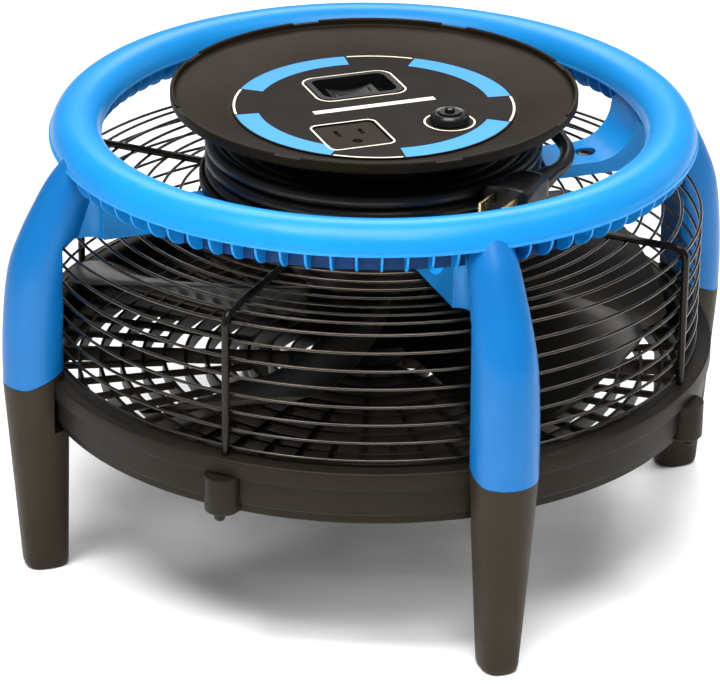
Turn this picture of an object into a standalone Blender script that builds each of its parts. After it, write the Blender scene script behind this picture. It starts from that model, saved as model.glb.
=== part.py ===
"""Axial air mover: a low, round floor dryer on four legs.

A ring handle, four legs and a cross of arms carry a motor, which hangs in a wire guard and blows
down through a grille.  A cord reel with a dished control panel sits on the cross.
Frame: +Z up, origin on the floor under the fan's axis, legs along X and Y, panel reads along +X.
"""
import math

import bmesh
import bpy
from mathutils import Matrix, Vector

# ---- driving dimensions, in metres ----------------------------------------------------------
GAP = 0.0003                 # clearance kept between touching pieces

RING_RADIUS = 0.1523         # handle ring: centre line of the tube
RING_TUBE = 0.0131
RING_HEIGHT = 0.2192
RING_WALL = 0.0028
RING_RIBS = 16
RING_SEGMENTS = 40
RIB_THICKNESS = 0.0022

LEG_REACH = 0.200            # outermost face of a leg from the axis
LEG_RADIUS = 0.0169
LEG_BOTTOM = 0.1062          # where the leg meets its foot
FOOT_BOTTOM_CENTRE = 0.1795
FOOT_BOTTOM_HALF_LENGTH = 0.0114
FOOT_BOTTOM_HALF_WIDTH = 0.0094

ARM_BOTTOM = 0.1839
ARM_TOP = 0.1908
ARM_HALF_WIDTH = 0.0154
HUB_PLATE_RADIUS = 0.048
ARM_INNER_END = 0.030        # inside the hub plate
ARM_OUTER_END = 0.160        # under the ring
ARM_FILLET_RADIUS = 0.0210   # the sweep up to the ring
ARM_FILLET_CENTRE = (0.1190, 0.2118)
ARM_SWEEP_END = (0.1420, 0.2160)
ARM_SCREW_REACH = 0.1190
ARM_SCREW = (0.0049, 0.0023, 0.0021, 0.0045)      # head and shank: radius and depth of each
ARM_SCREW_SPACE = (0.0053, 0.0026, 0.0025, 0.0050)
MOTOR_SCREW_REACH = 0.0320
MOTOR_SCREW = (0.0044, 0.0028, 0.0019, 0.0048)
MOTOR_SCREW_SPACE = (0.0048, 0.0034, 0.0023, 0.0120)

BASE_TOP = 0.1097            # base ring: rim, band and lower lip
BASE_RIM_RADIUS = 0.1777
BASE_RIM_BOTTOM = 0.1005
BASE_BAND_RADIUS = 0.1754
BASE_BAND_BOTTOM = 0.0861
BASE_LIP_RADIUS = 0.1731
BASE_BOTTOM = 0.0808
BASE_INNER_RADIUS = 0.1703
LEDGE_RADIUS = 0.1600        # inner ledge that carries the grille
LEDGE_TOP = 0.0834
FLANGE_RADIUS = 0.1660       # inward flange at the top
FLANGE_BOTTOM = 0.1075
LUG_RADIUS = 0.009
LUG_REACH = 0.1757
LUG_BOTTOM = 0.0815
GUARD_SCREW_REACH = 0.1787

GRILLE_DEPTH = 0.0090
GRILLE_RING_THICKNESS = 0.0018
GRILLE_RINGS = 6
GRILLE_FIRST_RING = 0.0430
GRILLE_RING_PITCH = 0.0250
GRILLE_MIDDLE_RADIUS = 0.0180
GRILLE_BARS = 8
GRILLE_BAR_WIDTH = 0.0030
GRILLE_BAR_INNER_END = 0.0165
GRILLE_BAR_OUTER_END = 0.1685

GUARD_RADIUS = 0.1693
GUARD_WIRE = 0.0020          # ring wire, across
GUARD_SPOKE = 0.0039
GUARD_TOP = 0.1815
GUARD_PITCH = 0.00955
SIDE_RINGS = 8
TOP_RINGS = 12
TOP_PITCH = 0.0099
GUARD_BAR_INNER_END = 0.0495
GUARD_BAR_OUTER_END = 0.1735
GUARD_CLEARANCE = 0.1713     # the legs keep outside this radius beside the guard

MOTOR_RADIUS = 0.044
MOTOR_BOTTOM = 0.143
MOTOR_TOP = 0.1836
MOTOR_SPLIT = 0.1780         # top of the housing, where its cap starts
MOTOR_WALL = 0.0022
BEARING_SEAT = 0.0099
BEARING_DEPTH = 0.0062
UPPER_BEARING_BOTTOM = 0.1758
STATOR_BORE = 0.0272
STATOR_BOTTOM = 0.1520
STATOR_TOP = 0.1715
ROTOR_RADIUS = 0.0266
ROTOR_BOTTOM = 0.1530
ROTOR_TOP = 0.1705
SHAFT_RADIUS = 0.004
SHAFT_BOTTOM = 0.1055
SHAFT_TOP = 0.1815

FAN_HUB_RADIUS = 0.034
FAN_TIP_RADIUS = 0.1576
FAN_MIDDLE = 0.1225
HUB_TOP = 0.1375
HUB_BOTTOM = 0.1100
HUB_CEILING = 0.1345         # underside of the hub's top face
HUB_WALL = 0.0024
HUB_BOSS_RADIUS = 0.010
HUB_BOSS_BOTTOM = 0.1125
FAN_BLADES = 5
BLADE_START = 20.0
BLADE_THICKNESS = 0.0020
BLADE_ROOT_CHORD = 0.046
BLADE_CHORD_GAIN = 0.074     # from root to tip
BLADE_ROOT_PITCH = 40.0
BLADE_PITCH_DROP = 22.0
BLADE_SWEEP = -16.0
BLADE_CAMBER = 0.0045
NUT_MIDDLE = 0.1092
NUT_RADIUS = 0.0085
NUT_DEPTH = 0.0060

DISH_RADIUS = 0.1042
DISH_TOP = 0.2418
PANEL_TOP = 0.2310           # moulded face under the printed label
LABEL_RADIUS = 0.0731
LABEL_TOP = 0.2319
DISH_WALL = 0.0022
TRAY_BOTTOM = 0.1911
TRAY_FLOOR = 0.1931
TRAY_RADIUS = 0.0896
DRUM_RADIUS = 0.0633
DRUM_WALL = 0.0020
LIP_GAPS = 8

SWITCH_CENTRE = (0.0, 0.0292)
SWITCH_SIZE = (0.046, 0.032)
SWITCH_DEPTH = 0.0220
SWITCH_WELL = (0.0400, 0.0260, 0.0200)
ROCKER_SLOT = (0.0300, 0.0200, 0.0200)
ROCKER_WIDTH = 0.0190
OUTLET_CENTRE = (-0.0246, -0.0346)
OUTLET_SIZE = 0.0315
OUTLET_BODY = (0.0255, 0.0265, 0.0200)
OUTLET_SLOT_LENGTHS = (0.0088, 0.0072)
OUTLET_SLOT_WIDTH = 0.0022
OUTLET_EARTH_RADIUS = 0.0027
OUTLET_HOLE_DEPTH = 0.0240
SLOT_SPACING = 0.0127        # the standard spacing of a mains outlet's slots
BREAKER_CENTRE = (0.028, -0.034)
ROCKER_PIVOT = LABEL_TOP - 0.0085
BUTTON_TOP = LABEL_TOP + 0.0078
BUTTON_BOTTOM = 0.2190
BREAKER_BORE_BOTTOM = 0.2150
BREAKER_BOTTOM = 0.2050
CAPACITOR_SIZE = (0.0160, 0.0300, 0.0240)
CAPACITOR_PLACE = (0.0390, 0.0020)

CORD_RADIUS = 0.0038
CORD_PITCH = 0.0078          # turn to turn
CORD_LAYERS = 3
CORD_ROWS = 3
CORD_START = 65.0            # angle at which the cord leaves the drum
CORD_FIRST_ROW = TRAY_FLOOR + GAP + CORD_PITCH / 2 + 0.0002
GLAND_SLANT = 28.0
LEAD_POINTS = 19
PLUG_ANGLE = -62.5
PLUG_DISTANCE = 0.0990
PLUG_YAW = 13.0              # the plug's cord end leans in towards the coil
PLUG_HEIGHT = 0.2105
PLUG_LENGTH = 0.036
PLUG_WIDTH = 0.0255
PLUG_DEPTH = 0.0215
PLUG_BLADE_RISE = 0.0035     # of the blades above the middle of the plug's face
PLUG_PIN_DROP = 0.0070
SLEEVE_LENGTH = 0.0130
GLAND_LENGTH = 0.0220

LEG_ANGLES = {"right": 0.0, "back": 90.0, "left": 180.0, "front": 270.0}
SPOKE_ANGLES = {"right_back": 45.0, "left_back": 135.0, "left_front": 225.0, "right_front": 315.0}

# name: (colour, roughness, metallic)
FINISHES = {
    "blue_plastic": ((0.012, 0.30, 0.76, 1.0), 0.42, 0.0),
    "black_plastic": ((0.022, 0.018, 0.015, 1.0), 0.50, 0.0),
    "panel_black": ((0.030, 0.022, 0.017, 1.0), 0.45, 0.0),
    "wire_black": ((0.012, 0.011, 0.010, 1.0), 0.25, 0.6),
    "fan_black": ((0.030, 0.027, 0.024, 1.0), 0.45, 0.0),
    "motor_grey": ((0.060, 0.058, 0.055, 1.0), 0.40, 0.7),
    "steel": ((0.55, 0.54, 0.52, 1.0), 0.30, 1.0),
    "copper": ((0.60, 0.27, 0.12, 1.0), 0.40, 0.9),
    "brass": ((0.62, 0.45, 0.20, 1.0), 0.30, 1.0),
    "black_rubber": ((0.015, 0.014, 0.013, 1.0), 0.60, 0.0),
    "label_print": ((0.035, 0.022, 0.016, 1.0), 0.40, 0.0),
    "rocker_black": ((0.020, 0.020, 0.020, 1.0), 0.30, 0.0),
}


# ---- scene helpers --------------------------------------------------------------------------
def clear_scene():
    for old in list(bpy.data.objects):
        bpy.data.objects.remove(old, do_unlink=True)


def make_collection(name):
    group = bpy.data.collections.new(name)
    bpy.context.scene.collection.children.link(group)
    return group


def make_materials():
    made = {}
    for name, (colour, roughness, metallic) in FINISHES.items():
        material = bpy.data.materials.new(name)
        material.use_nodes = True
        shader = material.node_tree.nodes["Principled BSDF"]
        shader.inputs["Base Color"].default_value = colour
        shader.inputs["Roughness"].default_value = roughness
        shader.inputs["Metallic"].default_value = metallic
        made[name] = material
    return made


def add_object(name, data, finish, group=None):
    """Link a mesh or curve as a named sub-part, or as a cutter when it has no finish."""
    thing = bpy.data.objects.new(name, data)
    (group or PARTS).objects.link(thing)
    if finish:
        data.materials.append(MATERIALS[finish])
    else:
        thing.hide_render = True
        thing.display_type = "WIRE"
    return thing


def mesh_object(name, bm, finish, group=None):
    mesh = bpy.data.meshes.new(name)
    bm.to_mesh(mesh)
    bm.free()
    mesh.shade_smooth()
    mesh.set_sharp_from_angle(angle=math.radians(35))
    return add_object(name, mesh, finish, group)


def turned(name, profile, finish, segments=48, closed=True, group=None):
    """Turn a profile of (radius, height) points, outer side running down, about Z.

    A closed profile makes a ring; an open one starts and ends on the axis.  A list of closed
    profiles makes several rings in one mesh.
    """
    loops = profile if isinstance(profile[0], list) else [profile]
    mesh = bpy.data.meshes.new(name)
    points = []
    edges = []
    for loop in loops:
        first = len(points)
        points += [(radius, 0.0, height) for radius, height in loop]
        edges += [(first + i, first + i + 1) for i in range(len(loop) - 1)]
        if closed:
            edges.append((first + len(loop) - 1, first))
    mesh.from_pydata(points, edges, [])
    thing = add_object(name, mesh, finish, group)
    screw = thing.modifiers.new("turn", "SCREW")
    screw.axis = "Z"
    screw.angle = math.tau
    screw.steps = segments
    screw.render_steps = segments
    screw.use_merge_vertices = True
    screw.merge_threshold = 0.00001
    screw.use_smooth_shade = True
    return thing


def block(name, size, location, finish, bevel=0.0, group=None, segments=1):
    bm = bmesh.new()
    bmesh.ops.create_cube(bm, size=1.0, matrix=Matrix.Diagonal((*size, 1.0)))
    thing = mesh_object(name, bm, finish, group)
    thing.location = location
    if bevel:
        round_edges(thing, bevel, segments)
    return thing


def round_edges(thing, width, segments=1):
    bevel = thing.modifiers.new("edges", "BEVEL")
    bevel.width = width
    bevel.segments = segments
    bevel.limit_method = "ANGLE"
    bevel.angle_limit = math.radians(40)


def cylinder(name, radius, depth, location, finish, segments=24, group=None, end_radius=None):
    bm = bmesh.new()
    bmesh.ops.create_cone(bm, cap_ends=True, segments=segments, radius1=radius,
                          radius2=radius if end_radius is None else end_radius, depth=depth)
    thing = mesh_object(name, bm, finish, group)
    thing.location = location
    return thing


def tube_curve(name, points, radius, scales=None, resolution=2):
    """A round tube along the points, as a curve with filled caps."""
    curve = bpy.data.curves.new(name, "CURVE")
    curve.dimensions = "3D"
    curve.bevel_depth = radius
    curve.bevel_resolution = resolution
    curve.use_fill_caps = True
    spline = curve.splines.new("POLY")
    spline.points.add(len(points) - 1)
    for i, point in enumerate(points):
        spline.points[i].co = (*point, 1.0)
        spline.points[i].radius = scales[i] if scales else 1.0
    return curve


def prism_curve(name, outline, thickness):
    """A flat outline in XY, filled and extruded to its thickness."""
    curve = bpy.data.curves.new(name, "CURVE")
    curve.dimensions = "2D"
    curve.fill_mode = "BOTH"
    curve.extrude = thickness / 2
    spline = curve.splines.new("POLY")
    spline.points.add(len(outline) - 1)
    for i, (x, y) in enumerate(outline):
        spline.points[i].co = (x, y, 0.0, 1.0)
    spline.use_cyclic_u = True
    return curve


def mesh_from_curve(name, curve, matrix=None):
    """Turn a curve into a welded mesh, so that Booleans can use it."""
    holder = bpy.data.objects.new(name + "_curve", curve)
    bpy.context.scene.collection.objects.link(holder)
    bpy.context.view_layer.update()
    evaluated = holder.evaluated_get(bpy.context.evaluated_depsgraph_get())
    mesh = bpy.data.meshes.new_from_object(evaluated)
    bpy.data.objects.remove(holder, do_unlink=True)
    bm = bmesh.new()
    bm.from_mesh(mesh)
    bmesh.ops.remove_doubles(bm, verts=bm.verts, dist=0.00001)
    if matrix:
        bmesh.ops.transform(bm, matrix=matrix, verts=bm.verts)
    bmesh.ops.recalc_face_normals(bm, faces=bm.faces)
    bm.to_mesh(mesh)
    bm.free()
    mesh.name = name
    mesh.shade_smooth()
    mesh.set_sharp_from_angle(angle=math.radians(35))
    return mesh


def boolean(target, other, operation):
    change = target.modifiers.new(operation.lower(), "BOOLEAN")
    change.operation = operation
    change.solver = "EXACT"
    change.object = other
    return target


def cut(target, *cutters):
    for cutter in cutters:
        boolean(target, cutter, "DIFFERENCE")
    return target


def join(target, *others):
    for other in others:
        boolean(target, other, "UNION")
    return target


def polar(radius, degrees, height=0.0):
    angle = math.radians(degrees)
    return Vector((radius * math.cos(angle), radius * math.sin(angle), height))


def turn(degrees):
    return Matrix.Rotation(math.radians(degrees), 4, "Z")


def arc(centre, radius, start, end, count):
    """Points on an arc about (x, y), angles in degrees."""
    made = []
    for i in range(count):
        angle = math.radians(start + (end - start) * i / (count - 1))
        made.append((centre[0] + radius * math.cos(angle), centre[1] + radius * math.sin(angle)))
    return made


def box_profile(inner, outer, bottom, top):
    return [(outer, top), (outer, bottom), (inner, bottom), (inner, top)]


def many_boxes(name, boxes, group):
    """Separate boxes in one cutter mesh: each is a size and a matrix."""
    bm = bmesh.new()
    for size, matrix in boxes:
        bmesh.ops.create_cube(bm, size=1.0, matrix=matrix @ Matrix.Diagonal((*size, 1.0)))
    return mesh_object(name, bm, None, group)


# ---- blue moulding: ring, legs and cross -------------------------------------------------------
def leg_path():
    """Centre line and radii of a leg in its radial plane: up from the foot and in to the ring."""
    centre = LEG_REACH - LEG_RADIUS
    stations = [
        (centre, LEG_BOTTOM, LEG_RADIUS),
        (centre - 0.0003, 0.1285, LEG_RADIUS),
        (centre - 0.0015, 0.1500, 0.0166),
        (0.1788, 0.1665, 0.0160),
        (0.1745, 0.1805, 0.0149),
        (0.1685, 0.1935, 0.0134),
        (0.1610, 0.2060, 0.0120),
        (RING_RADIUS, RING_HEIGHT, 0.0108),
    ]
    return stations


def leg_tube(name, degrees, grow):
    """A leg as a welded mesh, grown by a clearance when it is used as a cutter."""
    stations = leg_path()
    points = [polar(radius, degrees, height) for radius, height, _ in stations]
    scales = [(size + grow) / LEG_RADIUS for _, _, size in stations]
    curve = tube_curve(name, points, LEG_RADIUS, scales, resolution=3)
    return mesh_from_curve(name, curve)


def make_ring_envelope():
    centre = (RING_RADIUS, RING_HEIGHT)
    loop = arc(centre, RING_TUBE + GAP, 90, -260, 15)
    return turned("ring_envelope", loop, None, RING_SEGMENTS, group=CUTTERS)


def make_handle_part(name, y_side, x_side=0):
    """The part of the ring handle on one side of the fan's axis in Y, and in X where x_side is set."""
    centre = (RING_RADIUS, RING_HEIGHT)
    outer_down = arc(centre, RING_TUBE, 90, 0, 5)
    inside = arc(centre, RING_TUBE - RING_WALL, 0, 180, 6)
    outer_up = arc(centre, RING_TUBE, 180, 90, 5)[:-1]
    ring = turned(name, outer_down + inside + outer_up, "blue_plastic", RING_SEGMENTS)
    shoulder = RING_TUBE - 0.0008
    outline = [(-shoulder, 0.0012)] + arc((0.0, 0.0), RING_TUBE - 0.0004, 183, 357, 6)
    outline.append((shoulder, 0.0012))
    upright = Matrix.Rotation(math.radians(90), 4, "X")
    bm = bmesh.new()
    for i in range(RING_RIBS):
        place = turn(360.0 / RING_RIBS * (i + 0.5)) @ Matrix.Translation((RING_RADIUS, 0, RING_HEIGHT))
        curve = prism_curve("ring_rib", outline, RIB_THICKNESS)
        bm.from_mesh(mesh_from_curve("ring_rib", curve, place @ upright))
    join(ring, mesh_object("ring_ribs", bm, None, CUTTERS))
    width = 2.2 * (RING_RADIUS + RING_TUBE)
    away = (GAP - width / 2) / 2
    cut(ring, block("other_half", (width, width / 2, 4 * RING_TUBE),
                    (0, y_side * away, RING_HEIGHT), None, 0.0, CUTTERS))
    if x_side:
        cut(ring, block("other_quarter", (width / 2, width, 4 * RING_TUBE),
                        (x_side * away, 0, RING_HEIGHT), None, 0.0, CUTTERS))


def make_legs():
    ring = make_ring_envelope()
    depth = ARM_BOTTOM - LEG_BOTTOM
    guard = cylinder("guard_clearance", GUARD_CLEARANCE, depth, (0, 0, LEG_BOTTOM + depth / 2 - 0.0004),
                     None, 96, CUTTERS)
    base = cylinder("base_clearance", BASE_RIM_RADIUS + GAP, 0.0300,
                    (0, 0, BASE_TOP + GAP - 0.0150), None, 96, CUTTERS)
    for side, degrees in LEG_ANGLES.items():
        leg = add_object("leg_" + side, leg_tube("leg_" + side, degrees, 0.0), "blue_plastic")
        cut(leg, ring, guard, base)
    return ring, base


def make_arm_mesh(name, degrees):
    """One arm of the cross: a flat bar that sweeps up to the ring at its outer end."""
    fillet = arc(ARM_FILLET_CENTRE, ARM_FILLET_RADIUS, 270, 352, 8)
    outline = [(ARM_INNER_END, ARM_BOTTOM), (ARM_OUTER_END, ARM_BOTTOM),
               (ARM_OUTER_END, ARM_SWEEP_END[1]), ARM_SWEEP_END]
    outline += list(reversed(fillet)) + [(ARM_INNER_END, ARM_TOP)]
    curve = prism_curve(name, outline, 2 * ARM_HALF_WIDTH)
    upright = turn(degrees) @ Matrix.Rotation(math.radians(90), 4, "X")
    return mesh_from_curve(name, curve, upright)


def make_arm_spider(ring):
    """The hub plate that carries the motor and the reel, and its four arms."""
    spider = cylinder("arm_spider", HUB_PLATE_RADIUS, ARM_TOP - ARM_BOTTOM,
                      (0, 0, (ARM_TOP + ARM_BOTTOM) / 2), "blue_plastic", 48)
    for side, degrees in LEG_ANGLES.items():
        join(spider, add_object("arm_" + side, make_arm_mesh("arm_" + side, degrees), None, CUTTERS))
    cut(spider, ring)
    for side, degrees in LEG_ANGLES.items():
        space = add_object("leg_space_" + side, leg_tube("leg_space", degrees, GAP), None, CUTTERS)
        cut(spider, space)
    cut(spider, cylinder("wire_way", 0.008, 0.02, (0, 0, ARM_TOP), None, 16, CUTTERS))
    for degrees in LEG_ANGLES.values():
        cut(spider, screw_space("arm_screw_space", polar(ARM_SCREW_REACH, degrees, ARM_TOP),
                                *ARM_SCREW_SPACE))
    for degrees in SPOKE_ANGLES.values():
        cut(spider, screw_space("motor_screw_space", polar(MOTOR_SCREW_REACH, degrees, ARM_TOP),
                                *MOTOR_SCREW_SPACE))
    return spider


def screw_profile(head, head_depth, shank, shank_depth):
    """Head and shank below z = 0, as an open profile down the outer side."""
    return [(0.0, 0.0), (head, 0.0), (head, -head_depth), (shank, -head_depth),
            (shank, -head_depth - shank_depth), (0.0, -head_depth - shank_depth)]


def screw_space(name, place, head, head_depth, shank, shank_depth):
    profile = screw_profile(head, head_depth, shank, shank_depth)
    profile = [(0.0, 0.004), (head, 0.004)] + profile[2:]
    space = turned(name, profile, None, 12, closed=False, group=CUTTERS)
    space.location = place
    return space


def make_screws():
    """Screws through the arms, and those that hold the motor under the hub plate."""
    for side, degrees in LEG_ANGLES.items():
        profile = screw_profile(*ARM_SCREW)
        screw = turned("arm_screw_" + side, profile, "wire_black", 8, closed=False)
        screw.location = polar(ARM_SCREW_REACH, degrees, ARM_TOP - GAP / 2)
    for side, degrees in SPOKE_ANGLES.items():
        profile = screw_profile(*MOTOR_SCREW)
        screw = turned("motor_screw_" + side, profile, "steel", 8, closed=False)
        screw.location = polar(MOTOR_SCREW_REACH, degrees, ARM_TOP - GAP)


# ---- feet and base ring --------------------------------------------------------------------------
def make_feet(base):
    """Four tapered feet, notched at the back so that the base ring sits on their shoulders."""
    top = LEG_BOTTOM - GAP
    centre = LEG_REACH - LEG_RADIUS
    for side, degrees in LEG_ANGLES.items():
        bm = bmesh.new()
        bmesh.ops.create_cone(bm, cap_ends=True, segments=20, radius1=1.0, radius2=1.0, depth=1.0)
        for vertex in bm.verts:
            low = vertex.co.z < 0
            half_length = FOOT_BOTTOM_HALF_LENGTH if low else LEG_RADIUS
            half_width = FOOT_BOTTOM_HALF_WIDTH if low else LEG_RADIUS
            vertex.co.x = vertex.co.x * half_length + (FOOT_BOTTOM_CENTRE if low else centre)
            vertex.co.y = vertex.co.y * half_width
            vertex.co.z = 0.0 if low else top
        bmesh.ops.transform(bm, matrix=turn(degrees), verts=bm.verts)
        foot = mesh_object("foot_" + side, bm, "black_plastic")
        round_edges(foot, 0.0010)
        cut(foot, base)


def make_base_ring():
    profile = [
        (BASE_RIM_RADIUS - 0.0008, BASE_TOP), (BASE_RIM_RADIUS, BASE_TOP - 0.0010),
        (BASE_RIM_RADIUS, BASE_RIM_BOTTOM), (BASE_BAND_RADIUS, BASE_RIM_BOTTOM),
        (BASE_BAND_RADIUS, BASE_BAND_BOTTOM), (BASE_LIP_RADIUS, BASE_BAND_BOTTOM),
        (BASE_LIP_RADIUS, BASE_BOTTOM), (LEDGE_RADIUS, BASE_BOTTOM), (LEDGE_RADIUS, LEDGE_TOP),
        (BASE_INNER_RADIUS, LEDGE_TOP), (BASE_INNER_RADIUS, FLANGE_BOTTOM),
        (FLANGE_RADIUS, FLANGE_BOTTOM), (FLANGE_RADIUS, BASE_TOP),
    ]
    ring = turned("base_ring", profile, "black_plastic", 40)
    inside = cylinder("lug_trim", BASE_INNER_RADIUS + 0.0012, 0.06, (0, 0, BASE_RIM_BOTTOM), None,
                      64, CUTTERS)
    lug_height = BASE_RIM_BOTTOM - LUG_BOTTOM + 0.002
    for side, degrees in SPOKE_ANGLES.items():
        lug = cylinder("lug_" + side, LUG_RADIUS, lug_height,
                       polar(LUG_REACH, degrees, LUG_BOTTOM + lug_height / 2), None, 16, CUTTERS)
        join(ring, cut(lug, inside))


def make_guard_screws():
    """The screws under the lugs that clamp the guard's spokes."""
    for side, degrees in SPOKE_ANGLES.items():
        profile = [(0.0, 0.0), (0.0032, 0.0), (0.0028, -0.0030), (0.0018, -0.0042), (0.0, -0.0042)]
        screw = turned("guard_screw_" + side, profile, "black_plastic", 8, closed=False)
        screw.location = polar(GUARD_SCREW_REACH, degrees, LUG_BOTTOM - GAP)


def make_outlet_grille():
    """Concentric deflector rings on radial bars, resting on the base ring's inner ledge."""
    bottom = LEDGE_TOP + GAP
    top = bottom + GRILLE_DEPTH
    rings = []
    for i in range(GRILLE_RINGS):
        radius = GRILLE_FIRST_RING + GRILLE_RING_PITCH * i
        rings.append(box_profile(radius, radius + GRILLE_RING_THICKNESS, bottom, top))
    grille = turned("outlet_grille", rings, "black_plastic", 20)
    middle = cylinder("grille_middle", GRILLE_MIDDLE_RADIUS, top - bottom, (0, 0, (top + bottom) / 2),
                      None, 24, CUTTERS)
    bars = []
    reach = (GRILLE_BAR_INNER_END + GRILLE_BAR_OUTER_END) / 2
    length = GRILLE_BAR_OUTER_END - GRILLE_BAR_INNER_END
    for i in range(GRILLE_BARS):
        place = turn(360.0 / GRILLE_BARS * (i + 0.5)) @ Matrix.Translation((reach, 0, (top + bottom) / 2))
        bars.append(((length, GRILLE_BAR_WIDTH, top - bottom - 0.0010), place))
    spokes = many_boxes("grille_bars", bars, CUTTERS)
    join(spokes, middle)
    join(grille, spokes)
    return grille


# ---- wire guard ------------------------------------------------------------------------------------
def wire_loop(radius, height):
    half = GUARD_WIRE / 2
    return [(radius + half, height + half), (radius + half, height - half), (radius - half, height)]


def make_guard():
    """The welded wire cage, in two nodes: the wall of rings and the flat top."""
    side_loops = [wire_loop(GUARD_RADIUS, GUARD_TOP - 0.0017 - GUARD_PITCH * i)
                  for i in range(SIDE_RINGS)]
    wall = turned("guard_side", side_loops, "wire_black", 24)
    top_loops = [wire_loop(GUARD_RADIUS - TOP_PITCH * (i + 1), GUARD_TOP)
                 for i in range(TOP_RINGS)]
    lid = turned("guard_top", top_loops, "wire_black", 16)
    spoke_reach = GUARD_RADIUS + 0.0024
    low = BASE_TOP + GAP
    high = GUARD_TOP - 0.0010
    bar_middle = (GUARD_BAR_INNER_END + GUARD_BAR_OUTER_END) / 2
    bar_length = GUARD_BAR_OUTER_END - GUARD_BAR_INNER_END
    posts = []
    bars = []
    for degrees in SPOKE_ANGLES.values():
        place = turn(degrees) @ Matrix.Translation((spoke_reach, 0, (low + high) / 2))
        posts.append(((GUARD_SPOKE, GUARD_SPOKE, high - low), place))
        place = turn(degrees) @ Matrix.Translation((bar_middle, 0, GUARD_TOP + 0.0022))
        bars.append(((bar_length, GUARD_SPOKE, GUARD_SPOKE), place))
    join(wall, many_boxes("guard_posts", posts, CUTTERS))
    join(lid, many_boxes("guard_bars", bars, CUTTERS))


# ---- motor and fan -----------------------------------------------------------------------------------
def make_motor():
    wall = MOTOR_WALL
    seat = BEARING_SEAT
    housing = [
        (MOTOR_RADIUS, MOTOR_SPLIT), (MOTOR_RADIUS, MOTOR_BOTTOM + 0.004),
        (MOTOR_RADIUS - 0.004, MOTOR_BOTTOM), (seat, MOTOR_BOTTOM), (seat, MOTOR_BOTTOM + 0.007),
        (seat + 0.003, MOTOR_BOTTOM + 0.007), (seat + 0.003, MOTOR_BOTTOM + 0.003),
        (MOTOR_RADIUS - wall - 0.003, MOTOR_BOTTOM + 0.003),
        (MOTOR_RADIUS - wall, MOTOR_BOTTOM + 0.006), (MOTOR_RADIUS - wall, MOTOR_SPLIT),
    ]
    turned("motor_housing", housing, "motor_grey", 28)
    cap_bottom = MOTOR_SPLIT + GAP
    seat_bottom = MOTOR_SPLIT - 0.0025
    seat_top = MOTOR_TOP - 0.0011
    cap = [
        (0.0, MOTOR_TOP), (MOTOR_RADIUS, MOTOR_TOP), (MOTOR_RADIUS, cap_bottom),
        (seat + 0.003, cap_bottom), (seat + 0.003, seat_bottom), (seat, seat_bottom),
        (seat, seat_top), (0.0, seat_top),
    ]
    end_cap = turned("motor_end_cap", cap, "motor_grey", 28, closed=False)
    for degrees in SPOKE_ANGLES.values():
        cut(end_cap, cylinder("cap_hole", 0.0022, 0.010,
                              polar(MOTOR_SCREW_REACH, degrees, MOTOR_TOP + 0.0010),
                              None, 12, CUTTERS))
    turned("motor_stator", box_profile(STATOR_BORE, MOTOR_RADIUS - wall - GAP, STATOR_BOTTOM,
                                       STATOR_TOP), "copper", 20)
    for name, low in (("motor_bearing_lower", MOTOR_BOTTOM + 0.0003),
                      ("motor_bearing_upper", UPPER_BEARING_BOTTOM)):
        turned(name, box_profile(SHAFT_RADIUS + GAP, seat - GAP, low, low + BEARING_DEPTH),
               "steel", 16)


def make_fan():
    """Shaft, rotor, hub, nut and blades: everything that spins, each with its origin on the axis."""
    cylinder("motor_shaft", SHAFT_RADIUS, SHAFT_TOP - SHAFT_BOTTOM,
             (0, 0, (SHAFT_TOP + SHAFT_BOTTOM) / 2), "steel", 20)
    turned("motor_rotor", box_profile(SHAFT_RADIUS + GAP, ROTOR_RADIUS, ROTOR_BOTTOM, ROTOR_TOP),
           "motor_grey", 20)
    inner = FAN_HUB_RADIUS - HUB_WALL
    hub = [
        (FAN_HUB_RADIUS - 0.003, HUB_TOP), (FAN_HUB_RADIUS, HUB_TOP - 0.003),
        (FAN_HUB_RADIUS, HUB_BOTTOM), (inner, HUB_BOTTOM), (inner, HUB_CEILING),
        (HUB_BOSS_RADIUS, HUB_CEILING), (HUB_BOSS_RADIUS, HUB_BOSS_BOTTOM),
        (SHAFT_RADIUS + GAP, HUB_BOSS_BOTTOM), (SHAFT_RADIUS + GAP, HUB_TOP),
    ]
    turned("fan_hub", hub, "fan_black", 28)
    middle = (0, 0, NUT_MIDDLE)
    nut = cylinder("fan_nut", NUT_RADIUS, NUT_DEPTH, middle, "steel", 6)
    cut(nut, cylinder("nut_thread", SHAFT_RADIUS + GAP, 0.02, middle, None, 16, CUTTERS))
    for i in range(FAN_BLADES):
        blade = add_object("fan_blade_%d" % (i + 1), blade_mesh(), "fan_black")
        blade.rotation_euler = (0.0, 0.0, math.radians(BLADE_START + 360.0 / FAN_BLADES * i))
        shell = blade.modifiers.new("sheet", "SOLIDIFY")
        shell.thickness = BLADE_THICKNESS
        shell.offset = 0.0


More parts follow.
